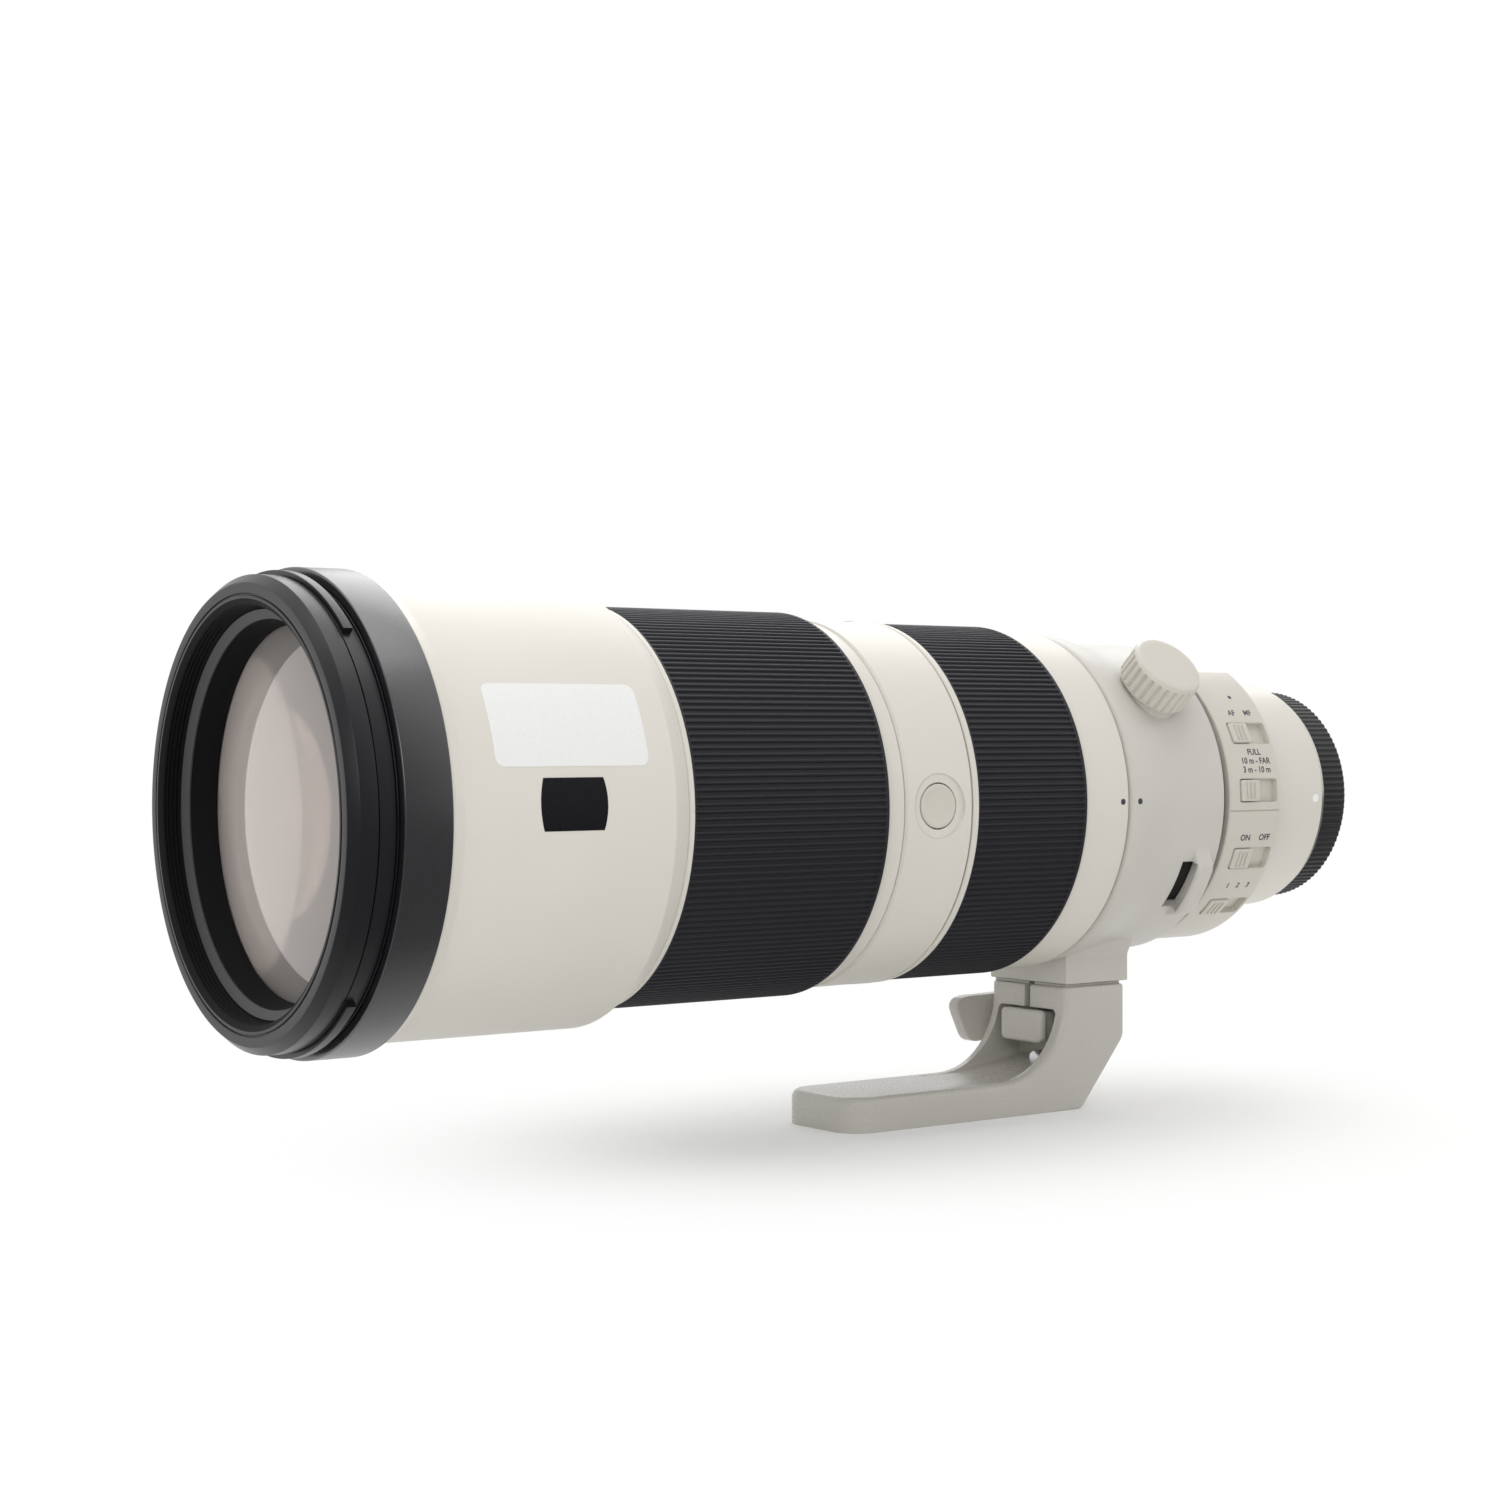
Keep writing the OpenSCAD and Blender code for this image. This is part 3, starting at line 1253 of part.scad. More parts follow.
// Bayonet mount ring: flange, register, tube and three lugs
module mount_ring() {
    x_lug = bayonet_len - lug_bayonet_len;
    color(metal) difference() {
        union() {
            spin([[throat_r, x_mount_wall_front], [spigot_r, x_mount_wall_front], [spigot_r, -flange_t],
                [flange_r, -flange_t], [flange_r, 0], [register_r, 0], [register_r, register_len],
                [bayonet_out, register_len], [bayonet_out, bayonet_len], [throat_r, bayonet_len]]);
            for (a = [30, 150, 270])
                spin_between([[bayonet_out - 0.3, x_lug], [register_r, x_lug], [register_r, bayonet_len],
                    [bayonet_out - 0.3, bayonet_len]], a - bayonet_lug_span / 2, a + bayonet_lug_span / 2);
        }
        at_mount_screws() translate([0, 0, -flange_t - 1]) {
            cylinder(h = flange_t + 2, r = screw_r + rod_seat_gap);
            cylinder(h = screw_head_t + 1, r = screw_head_r + rod_seat_gap);
        }
    }
}

// Screws that hold the mount ring
module mount_screws() {
    color(metal) at_mount_screws() translate([0, 0, -flange_t + rod_seat_gap]) {
        cylinder(h = flange_t + mount_wall_t - 2 * rod_seat_gap, r = screw_r);
        difference() {
            cylinder(h = screw_head_t - rod_seat_gap, r = screw_head_r);
            translate([-screw_head_r, -0.3, -0.1]) cube([2 * screw_head_r, 0.6, 0.5]);
        }
    }
}

// Contact block in the throat, with its row of contacts
module contact_block() {
    reach = 68;
    mid_r = (contact_in + throat_r) / 2;
    x_face = bayonet_len - 1.4;
    color(black) spin_between([[contact_in, x_mount_wall_front], [throat_r - fit_gap, x_mount_wall_front],
        [throat_r - fit_gap, x_face], [contact_in, x_face]], -90 - reach / 2, -90 + reach / 2);
    color(brass) for (i = [0:contacts - 1])
        on_side(-90 + reach * ((i + 0.5) / contacts - 0.5), x_face)
            translate([0, 0, mid_r]) rotate([0, 90, 0]) cylinder(h = 0.4, r = contact_pin_r);
}

// Rear cap with a ribbed grip
module rear_cap() {
    cap_in = cap_r - cap_wall;
    boss_r = register_r + 1.8;
    x_floor = x_cap_rear - cap_floor_t;
    color(black) union() {
        spin([[cap_in, x_cap_front], [cap_r - cap_rib_h, x_cap_front], [cap_r - cap_rib_h, x_cap_rear - 1.2],
            [cap_r - cap_rib_h - 1.2, x_cap_rear], [0, x_cap_rear], [0, x_floor], [boss_r, x_floor],
            [boss_r, x_floor - 2], [boss_r + 1.4, x_floor - 2], [boss_r + 1.4, x_floor], [cap_in, x_floor]]);
        intersection() {
            disc(x_cap_front, x_cap_rear - 1.2, cap_r);
            for (i = [0:cap_ribs - 1]) rotate([i * 360 / cap_ribs, 0, 0])
                translate([x_cap_front, -0.9, cap_r - cap_wall / 2]) cube([cap_len, 1.8, cap_wall]);
        }
    }
}

front_ring();
front_band();
front_barrel();
badge_plate();
retaining_ring();
front_cell();
front_element();
second_element();
guide_tube();
cam_tube();
zoom_sleeve();
zoom_rubber();
zoom_cell_a();
zoom_glass_a();
zoom_cell_b();
zoom_glass_b();
button_ring();
hold_button_side();
hold_button_top();
hold_button_bottom();
focus_sleeve();
focus_rubber();
focus_frame();
focus_rods();
focus_magnets();
focus_cell();
focus_glass();
iris_housing();
iris_drive_ring();
iris_blade_1();
iris_blade_2();
iris_blade_3();
iris_blade_4();
iris_blade_5();
iris_blade_6();
iris_blade_7();
shift_frame();
shift_carriage();
shift_cell();
shift_glass();
rear_cell();
rear_glass();
rear_ring();
tripod_collar();
collar_knob();
tripod_foot();
foot_lever();
foot_release();
thread_inserts();
rear_barrel();
switch_panel();
switch_focus();
switch_limit();
switch_steady();
switch_mode();
circuit_board();
mount_ring();
mount_screws();
contact_block();
rear_cap();
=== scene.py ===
# %% [markdown]
# # A white telephoto zoom lens on its tripod foot
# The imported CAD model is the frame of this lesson. It gives every piece its place and its moving body.
# Each step dresses a piece of it: either the CAD solid gets a finish, or a finer mesh takes its place.
# The frame is in metres, with X running from the front glass to the camera mount and Z up.
# Sizes in this script are in millimetres, and the value MM turns them to metres.

# %% Load the frame
import json
from math import copysign, cos, hypot, pi, radians, sin, sqrt, tan

import bmesh
import bpy
from mathutils import Matrix, Vector

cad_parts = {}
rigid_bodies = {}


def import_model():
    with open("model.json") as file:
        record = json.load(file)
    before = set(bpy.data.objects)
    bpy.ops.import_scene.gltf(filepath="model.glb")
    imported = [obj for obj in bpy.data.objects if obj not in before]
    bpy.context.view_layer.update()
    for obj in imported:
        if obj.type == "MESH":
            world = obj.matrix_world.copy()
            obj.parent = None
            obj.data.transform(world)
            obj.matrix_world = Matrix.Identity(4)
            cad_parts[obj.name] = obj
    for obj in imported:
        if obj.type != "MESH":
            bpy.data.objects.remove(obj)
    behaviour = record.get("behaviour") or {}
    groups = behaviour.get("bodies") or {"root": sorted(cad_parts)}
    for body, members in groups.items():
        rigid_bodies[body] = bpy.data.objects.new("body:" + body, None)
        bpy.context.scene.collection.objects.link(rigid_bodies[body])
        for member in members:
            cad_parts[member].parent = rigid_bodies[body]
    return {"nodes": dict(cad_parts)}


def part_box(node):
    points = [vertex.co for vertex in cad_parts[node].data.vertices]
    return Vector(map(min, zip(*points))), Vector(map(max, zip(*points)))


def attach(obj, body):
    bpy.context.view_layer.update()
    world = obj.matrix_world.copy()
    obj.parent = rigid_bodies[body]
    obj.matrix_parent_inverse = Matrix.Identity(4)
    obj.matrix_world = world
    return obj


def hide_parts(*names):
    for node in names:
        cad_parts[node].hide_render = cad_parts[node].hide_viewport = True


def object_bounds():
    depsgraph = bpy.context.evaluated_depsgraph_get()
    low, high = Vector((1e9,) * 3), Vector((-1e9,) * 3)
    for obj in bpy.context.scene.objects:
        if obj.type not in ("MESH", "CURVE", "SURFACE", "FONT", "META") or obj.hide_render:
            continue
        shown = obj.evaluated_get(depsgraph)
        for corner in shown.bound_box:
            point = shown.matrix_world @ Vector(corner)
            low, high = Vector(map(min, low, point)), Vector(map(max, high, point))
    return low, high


for leftover in list(bpy.data.objects):
    bpy.data.objects.remove(leftover)
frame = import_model()
cad_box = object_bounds()
MM = 0.001
scene = bpy.context.scene
scene.view_settings.view_transform = "Standard"


def put(name, data):
    """Puts a new object with the given data into the scene."""
    thing = bpy.data.objects.new(name, data)
    scene.collection.objects.link(thing)
    return thing


# %% [markdown]
# ## Camera
# The photograph was taken from the front left, a little above the lens axis, with a short telephoto lens.
# The place and the turn come from matching known points of the lens with their places in the picture.
# A small shift moves the frame without tilting the camera, as a shift lens or a crop does.

# %% Camera
CAMERA_PLACE = Vector((-0.5558, -0.5300, 0.0148))
turn = Matrix.Rotation(radians(-1.6), 3, "X") @ Matrix.Rotation(radians(-35.5), 3, "Z")
tilt = Matrix.Rotation(radians(-0.39), 3, "X") @ Matrix.Rotation(radians(1.21), 3, "Y")
aim = turn @ tilt
right, forward, up = aim.col[0], aim.col[1], aim.col[2]
camera_data = bpy.data.cameras.new("studio_camera")
camera_data.sensor_width = 36
camera_data.lens = 61.2
camera_data.shift_x = -0.0027
camera_data.shift_y = 0.048
camera_data.clip_start = 0.01
camera = put("studio_camera", camera_data)
camera.matrix_world = Matrix.Translation(CAMERA_PLACE) @ Matrix((right, up, -forward)).transposed().to_4x4()
scene.camera = camera
print("camera at", [round(v, 3) for v in CAMERA_PLACE])

# %% [markdown]
# ## Light and background
# The photograph is a studio picture on pure white: broad soft lights above and behind, a small one beside
# the camera, and only a faint shadow under the foot. The world is white to the camera and gives a weaker
# even light to surfaces.
# Reflections see a darker room on the camera's side, so blacks stay black there.

# %% World and lamps
world = bpy.data.worlds.new("white_studio")
world.use_nodes = True
scene.world = world


def wire(owner, source, node, socket):
    """Links an output, or the first output of a source node, to an input socket of a node."""
    output = source.outputs[0] if hasattr(source, "outputs") else source
    owner.node_tree.links.new(output, node.inputs[socket])


def add(owner, kind, settings=None, links=None):
    """Adds a shader node with its settings, by property or socket name, and links its input sockets."""
    node = owner.node_tree.nodes.new("ShaderNode" + kind)
    for key, value in (settings or {}).items():
        if isinstance(key, str) and key in node.bl_rna.properties:
            setattr(node, key, value)
        else:
            node.inputs[key].default_value = value
    for key, source in (links or {}).items():
        wire(owner, source, node, key)
    return node


WORLD_LIGHT = 0.66
ROOM_SIDE = Vector((-0.4, -0.91, -0.1)).normalized()
ROOM_DARK = 0.2
rays = add(world, "LightPath")
seen = add(world, "Math", {"operation": "MAXIMUM"},
           {0: rays.outputs["Is Camera Ray"], 1: rays.outputs["Is Transmission Ray"]})
plain = add(world, "MapRange", {"To Min": WORLD_LIGHT, "To Max": 1.0}, {"Value": seen})
way = add(world, "TexCoord").outputs["Generated"]
toward_room = add(world, "VectorMath", {"operation": "DOT_PRODUCT", 1: ROOM_SIDE}, {0: way})
room = add(world, "MapRange",
           {"interpolation_type": "SMOOTHSTEP", "From Max": 0.8, "To Min": 1.0, "To Max": ROOM_DARK},
           {"Value": toward_room.outputs["Value"]})
strength = add(world, "Mix", {}, {0: rays.outputs["Is Glossy Ray"], 2: plain, 3: room})
background = world.node_tree.nodes["Background"]
background.inputs["Color"].default_value = (1, 1, 1, 1)
wire(world, strength, background, "Strength")


def soft_lamp(name, place, aim_at, size, watts):
    """Adds a square area light that looks at a point."""
    lamp = bpy.data.lights.new(name, "AREA")
    lamp.shape = "SQUARE"
    lamp.size = size
    lamp.energy = watts
    holder = put(name, lamp)
    holder.location = place
    holder.rotation_euler = (Vector(aim_at) - Vector(place)).to_track_quat("-Z", "Y").to_euler()


LENS_MIDDLE = (-0.16, 0, -0.02)
soft_lamp("overhead_softbox", (-0.25, -0.05, 1.1), LENS_MIDDLE, 1.1, 4.8)
soft_lamp("rear_softbox", (0.45, 0.65, 0.85), LENS_MIDDLE, 0.9, 5.0)
soft_lamp("front_fill", (-0.62, -0.5, 0.25), (-0.24, 0, 0), 0.3, 0.85)
print("studio: world light", WORLD_LIGHT, "with an overhead, a rear and a front softbox")

# %% [markdown]
# ## Colours
# Colours are listed as sRGB hex values, as a paint chart or a screen gives them. The shaders count in
# linear light, so one function turns each value over.

# %% Colour helper


def linear(code):
    """An sRGB hex colour as linear RGBA."""
    parts = [int(code[i:i + 2], 16) / 255 for i in (1, 3, 5)]
    return [c / 12.92 if c <= 0.04045 else ((c + 0.055) / 1.055) ** 2.4 for c in parts] + [1.0]


def new_finish(name, settings):
    """Starts a finish and returns it with its shader node and the place that patterns are fixed to."""
    finish = bpy.data.materials.new(name)
    finish.use_nodes = True
    shader = finish.node_tree.nodes["Principled BSDF"]
    for socket, value in settings.items():
        shader.inputs[socket].default_value = value
    return finish, shader, add(finish, "NewGeometry").outputs["Position"]


def show(finish, node):
    """Makes a shader node the surface of a finish."""
    wire(finish, node, finish.node_tree.nodes["Material Output"], "Surface")


print("white is", [round(part, 2) for part in linear("#ffffff")])

# %% [markdown]
# ## Floor
# The floor is a white table. Near the foot it takes a weak shadow, as a table lit from below does. Further
# out it fades to plain white, which the camera sees as the background, so no horizon shows. Mirror images
# of its near side are dark, because the real table ends there.

# %% Floor
FLOOR_Z = cad_box[0].z
FLOOR_HALF = 4.0
SHADOW_MIDDLE = (-0.11, -0.01, FLOOR_Z)
SHADOW_NEAR, SHADOW_FAR = 0.05, 0.2
SHADOW_WHITE = 0.2
NEAR_SIDE = -0.08
white_table, table_shader, table_place = new_finish("matte_white_table", {
    "Base Color": linear("#f7f7f6"), "Roughness": 0.9})
table_rays = add(white_table, "LightPath").outputs
table_far = add(white_table, "VectorMath", {"operation": "DISTANCE", 1: SHADOW_MIDDLE},
                {0: table_place})
table_fade = add(white_table, "MapRange",
                 {"interpolation_type": "SMOOTHSTEP", "From Min": SHADOW_NEAR, "From Max": SHADOW_FAR,
                  "To Min": SHADOW_WHITE}, {"Value": table_far.outputs["Value"]})
table_seen = add(white_table, "Math", {"operation": "MAXIMUM"},
                 {0: table_rays["Is Camera Ray"], 1: table_rays["Is Glossy Ray"]})
table_seen = add(white_table, "Math", {"operation": "MAXIMUM"},
                 {0: table_seen, 1: table_rays["Is Transmission Ray"]})
table_white = add(white_table, "Math", {"operation": "MULTIPLY"}, {0: table_fade, 1: table_seen})
table_axes = add(white_table, "SeparateXYZ", {}, {0: table_place})
table_near = add(white_table, "MapRange", {"From Min": 0.0, "From Max": NEAR_SIDE},
                 {"Value": table_axes.outputs["Y"]})
table_edge = add(white_table, "Math", {"operation": "MULTIPLY"},
                 {0: table_near, 1: table_rays["Is Glossy Ray"]})
table_top = table_shader
for share, level in ((table_white, 1.0), (table_edge, ROOM_DARK)):
    glow = add(white_table, "Emission", {"Color": (1, 1, 1, 1), "Strength": level})
    table_top = add(white_table, "MixShader", {}, {0: share, 1: table_top, 2: glow})
show(white_table, table_top)
table_mesh = bpy.data.meshes.new("studio_table")
table_corners = [(u * FLOOR_HALF, v * FLOOR_HALF, FLOOR_Z) for u, v in ((-1, -1), (1, -1), (1, 1), (-1, 1))]
table_mesh.from_pydata(table_corners, [], [(0, 1, 2, 3)])
table_mesh.materials.append(white_table)
studio_table = put("studio_table", table_mesh)
print("floor at", round(FLOOR_Z / MM, 2), "mm")

# %% [markdown]
# ## Sprayed enamel
# The shells of such a lens are aluminium and magnesium, blasted and then sprayed with a hard off-white
# enamel that keeps the lens cool in the sun. Spraying leaves a fine pebble, about a third of a
# millimetre from bump to bump, so highlights are soft. A bevel in the shader rounds edges that the CAD
# solids leave sharp, as a coat of paint does. The tone drifts slightly over some centimetres.

# %% Enamel
DRIFT_SIZE = 35
PEBBLE_SIZE = 0.33


def grained(finish, shader, grain, gloss, relief, edge, tones=(), drift=None):
    """Gives a finish its grain, which sets the gloss (roughness, spread) and the relief (strength, depth in
    mm) over rounded edges. The drift, or else the grain, blends its two tones."""
    roughness, spread = gloss
    shine = add(finish, "MapRange", {"To Min": roughness - spread, "To Max": roughness + spread},
                {"Value": grain})
    wire(finish, shine, shader, "Roughness")
    strength, depth = relief
    rounded = add(finish, "Bevel", {"samples": 6, "Radius": edge * MM})
    bumps = add(finish, "Bump", {"Strength": strength, "Distance": depth * MM},
                {"Height": grain, "Normal": rounded})
    wire(finish, bumps, shader, "Normal")
    if tones:
        tone = add(finish, "Mix", {"data_type": "RGBA", 6: linear(tones[0]), 7: linear(tones[1])},
                   {0: grain if drift is None else drift})
        wire(finish, tone.outputs[2], shader, "Base Color")
    return finish


def sprayed_enamel(name, colour, shade, roughness, edge=0.35):
    """An enamel finish with spray pebble, slow drift of tone and paint-rounded edges."""
    finish, shader, place = new_finish(name, {"IOR": 1.5, "Specular IOR Level": 0.5})
    drift = add(finish, "TexNoise", {"Scale": 1 / (DRIFT_SIZE * MM), "Detail": 2.0}, {"Vector": place})
    pebble = add(finish, "TexNoise", {"Scale": 1 / (PEBBLE_SIZE * MM), "Detail": 1.0}, {"Vector": place})
    return grained(finish, shader, pebble, (roughness, 0.06), (0.12, 0.05), edge, (colour, shade), drift)


barrel_enamel = sprayed_enamel("sprayed_off_white_enamel", "#dcd8cf", "#d5d1c8", 0.42)
collar_enamel = sprayed_enamel("sprayed_grey_white_enamel", "#cecbc4", "#c6c3bc", 0.4)
# The foot's enamel is a little darker than the collar's: that step is painted shade for the foot under the
# lens.
foot_shaded_enamel = sprayed_enamel("sprayed_foot_enamel_painted_shade", "#cbc8c1", "#c3c0b9", 0.28)
switch_plastic = sprayed_enamel("moulded_pale_plastic", "#d1cdc3", "#cac6bc", 0.38, 0.25)
print("enamels:", barrel_enamel.name, collar_enamel.name, foot_shaded_enamel.name)

# %% [markdown]
# ## Blacks
# The front rim and its band are aluminium, blasted and anodised black, which leaves a satin with a faint
# sparkle. The band's seal is denser and mirrors more, so its IOR is higher. Inside, everything is painted
# dull black so that no stray light reaches the picture. The grips are moulded rubber, the rear cap is
# moulded ABS with a fine spark-eroded texture, and wool felt and blackened steel serve inside.
# The felt's dark also serves as painted shade where it shows in the collar's lug passages.

# %% Black finishes


def grained_black(name, colour, shade, roughness, grain, depth, strength, edge, ior=1.5):
    """A black finish with a grain of a given size and depth, both in mm, and slightly rounded edges."""
    finish, shader, place = new_finish(name, {"IOR": ior})
    speck = add(finish, "TexNoise", {"Scale": 1 / (grain * MM), "Detail": 2.0}, {"Vector": place})
    return grained(finish, shader, speck, (roughness, 0.08), (strength, depth), edge, (colour, shade))


rim_black = grained_black("black_anodised_aluminium", "#151518", "#1c1c20", 0.32, 0.25, 0.03, 0.25, 0.2, 1.45)
band_black = grained_black("satin_black_anodised_aluminium", "#18181c", "#1f1f24", 0.3, 0.25, 0.03, 0.25,
                           0.2, 2.0)
# The felt's dark colour is also painted shade for the collar's lug passages, where it shows.
felt_and_shade_black = grained_black("black_wool_felt_and_painted_shade", "#2b2a29", "#383735", 0.9, 0.5, 0.1, 0.5, 0.1, 1.3)
baffle_black = grained_black("dull_black_light_trap_paint", "#09090a", "#0f0f10", 0.7, 0.4, 0.05, 0.3,
                             0.1, 1.3)
grip_rubber = grained_black("moulded_black_rubber", "#202026", "#29292f", 0.55, 0.3, 0.04, 0.35, 0.12, 1.45)
cap_plastic = grained_black("moulded_black_abs", "#1d1d1e", "#252526", 0.5, 0.35, 0.05, 0.35, 0.3)
blade_black = grained_black("blackened_spring_steel", "#17171a", "#202024", 0.45, 0.5, 0.02, 0.2, 0.05)
print("blacks:", rim_black.name, grip_rubber.name, cap_plastic.name)

# %% [markdown]
# ## Metals, board and inks
# Retaining rings are blasted and left grey. The mount is chromed brass and wears to a soft shine. The
# guide tubes are bare turned aluminium with fine tool marks round the axis. The circuit board has green
# solder mask over woven glass cloth. Index dots are screen-printed inks.

# %% Metals and inks


def machined_metal(name, colour, roughness, ring_pitch, spread):
    """A bare metal with turning marks round the lens axis, at a pitch in mm."""
    finish, shader, place = new_finish(name, {"Base Color": linear(colour), "Metallic": 1.0})
    along = add(finish, "SeparateXYZ", {}, {0: place}).outputs["X"]
    rings = add(finish, "TexNoise", {"noise_dimensions": "1D", "Scale": 1 / (ring_pitch * MM)},
                {"W": along})
    return grained(finish, shader, rings, (roughness, spread), (0.2, 0.01), 0.15)


ring_grey = grained_black("blasted_grey_aluminium", "#38373a", "#414043", 0.45, 0.2, 0.03, 0.2, 0.1)
bare_aluminium = machined_metal("turned_bare_aluminium", "#c9cacc", 0.35, 0.25, 0.1)
chromed_brass = machined_metal("chromed_mount_brass", "#d2d0cb", 0.22, 0.2, 0.06)
bright_steel = machined_metal("ground_steel", "#c4c4c6", 0.25, 0.15, 0.08)

solder_mask, mask_shader, mask_place = new_finish("green_solder_mask", {"Roughness": 0.35})
CLOTH_PITCH = 0.6 * MM
cloth = add(solder_mask, "TexChecker",
            {"Scale": 1 / CLOTH_PITCH, "Color1": linear("#1f5b3a"), "Color2": linear("#256544")},
            {"Vector": mask_place})
wire(solder_mask, cloth, mask_shader, "Base Color")


def printed_ink(name, colour, roughness):
    """A flat printed ink whose edge of film shows as a trace of unevenness."""
    finish, shader, place = new_finish(name, {"Roughness": roughness})
    film = add(finish, "TexNoise", {"Scale": 1 / (0.5 * MM)}, {"Vector": place})
    tone = add(finish, "HueSaturation", {"Color": linear(colour)})
    level = add(finish, "MapRange", {"To Min": 0.94, "To Max": 1.06}, {"Value": film})
    wire(finish, level, tone, "Value")
    wire(finish, tone, shader, "Base Color")
    return finish


dark_ink = printed_ink("screen_printed_dark_ink", "#3d434c", 0.5)
white_ink = printed_ink("screen_printed_white_ink", "#f2f2ef", 0.45)
label_paper = printed_ink("white_vinyl_label", "#e8e8e7", 0.4)
badge_metal = grained_black("black_lacquered_badge", "#121217", "#18181d", 0.3, 0.6, 0.02, 0.15, 0.3, 1.3)
print("inks and metals:", dark_ink.name, chromed_brass.name, solder_mask.name)

# %% [markdown]
# ## Coated glass
# Each element is optical glass with a thin coating. The coating takes most of the mirror image away and
# tints what is left, here a warm grey. In the shader, a clear coat with its own tint stands for it. The
# front elements mirror lamps far brighter than white, so some of their faces get a share of plain mirror:
# a little on the outer face, more on the hollow faces behind it, which catch the light from ahead. A pale
# veil on the outer face is painted reflection of the light that the inner faces send back. The edge of an
# element is ground, so it is dull and pale.

# %% Glass
coated_glass, glass_shader, glass_place = new_finish("coated_optical_glass", {
    "Base Color": linear("#faf9f8"), "Roughness": 0.0, "IOR": 1.52, "Transmission Weight": 1.0,
    "Coat Weight": 1.0, "Coat IOR": 2.2, "Coat Roughness": 0.02, "Coat Tint": linear("#f8f2ee")})
SMEAR_SIZE = 6
smear = add(coated_glass, "TexNoise", {"Scale": 1 / (SMEAR_SIZE * MM), "Detail": 3.0},
            {"Vector": glass_place})
haze = add(coated_glass, "MapRange", {"To Min": 0.0, "To Max": 0.03}, {"Value": smear})
wire(coated_glass, haze, glass_shader, "Roughness")


def lit_glass(name, share, blur, tint, reflection_veil=0):
    """Coated glass with a share of plain mirror, whose image is blurred and tinted, and a share of pale veil
    that is painted reflection.
    """
    finish = coated_glass.copy()
    finish.name = name
    shader = finish.node_tree.nodes["Principled BSDF"]
    shader.inputs["Coat IOR"].default_value = 1.5
    studio_image = add(finish, "BsdfAnisotropic", {"Color": linear(tint), "Roughness": blur})
    surface = add(finish, "MixShader", {0: share}, {1: shader, 2: studio_image})
    if reflection_veil:
        # A pale diffuse veil on the face: painted reflection of the light that the inner faces send back.
        veil = add(finish, "BsdfDiffuse", {"Color": linear("#dcd6d2")})
        surface = add(finish, "MixShader", {0: reflection_veil}, {1: surface, 2: veil})
    show(finish, surface)
    return finish


outer_glass = lit_glass("coated_outer_glass", 0.05, 0.05, "#f2e6e2", 0.33)
inner_glass = lit_glass("coated_inner_glass", 0.56, 0.09, "#f2e9e5")
middle_glass = lit_glass("coated_middle_glass", 0.68, 0.09, "#f2eeec")
bulge_glass = lit_glass("coated_bulge_glass", 0.9, 0.06, "#f6f4ef")
ground_edge, edge_shader, edge_place = new_finish("ground_glass_edge", {
    "Base Color": linear("#ded2cd"), "Roughness": 0.9})
GRIT_SIZE = 0.4
grit = add(ground_edge, "TexNoise", {"Scale": 1 / (GRIT_SIZE * MM)}, {"Vector": edge_place})
grit_bump = add(ground_edge, "Bump", {"Strength": 0.3, "Distance": 0.05 * MM}, {"Height": grit})
wire(ground_edge, grit_bump, edge_shader, "Normal")
print("glass:", coated_glass.name, "with faces", outer_glass.name, inner_glass.name, bulge_glass.name)

# %% [markdown]
# ## Finishes for the CAD pieces
# Many CAD solids already have the right shape, above all inside the lens. They only need their finish.
# The record gives each node a material slot, and each slot has one finish here, with a few exceptions.

# %% Dress the CAD pieces
SLOT_FINISH = {
    "white_shell": barrel_enamel, "white_metal": barrel_enamel, "grey_metal": collar_enamel,
    "grey_plastic": collar_enamel, "black_shell": baffle_black, "black_metal": baffle_black,
    "rubber": grip_rubber, "glass": coated_glass, "bare_metal": bare_aluminium, "steel": bright_steel,
    "blade": blade_black, "board": solder_mask}
NODE_FINISH = {"mount_ring": chromed_brass, "rear_cap": cap_plastic, "retaining_ring": ring_grey}
for node_name, solid in frame["nodes"].items():
    for place in solid.material_slots:
        place.material = NODE_FINISH.get(node_name, SLOT_FINISH[place.material.name.split(".")[0]])
print("dressed", len(frame["nodes"]), "CAD pieces")

# %% [markdown]
# ## Turning on a lathe
# Nearly every shell of a lens is turned on a lathe, and so are these meshes. A profile is a list of
# corners: radius, place along X and rounding. The corners are rounded first, then the profile is swept
# round the axis. A rib pattern can be cut in as it turns: a rib is a list of steps round one pitch, each
# with a share of the corner's groove depth.

# %% Lathe helpers


def rounded_outline(corners, steps=5):
    """Rounds the corners (radius, x, rounding, groove) of a closed profile to (radius, x, groove) points."""
    points = []
    for i, corner in enumerate(corners):
        here = Vector(corner[:2])
        rounding = corner[2] if len(corner) > 2 else 0
        groove = corner[3] if len(corner) > 3 else 0
        back = Vector(corners[i - 1][:2]) - here
        ahead = Vector(corners[(i + 1) % len(corners)][:2]) - here
        if not rounding:
            points.append((here.x, here.y, groove))
            continue
        reach = rounding / tan(back.angle(ahead) / 2)
        start = here + back.normalized() * min(reach, 0.48 * back.length)
        end = here + ahead.normalized() * min(reach, 0.48 * ahead.length)
        for k in range(steps + 1):
            t = k / steps
            point = start * (1 - t) ** 2 + here * (2 * t * (1 - t)) + end * t ** 2
            points.append((point.x, point.y, groove))
    return points


SHARP_TURN = 35


def mesh_of(form, name="scratch"):
    """Turns a bmesh form into a mesh."""
    mesh = bpy.data.meshes.new(name)
    form.to_mesh(mesh)
    form.free()
    return mesh


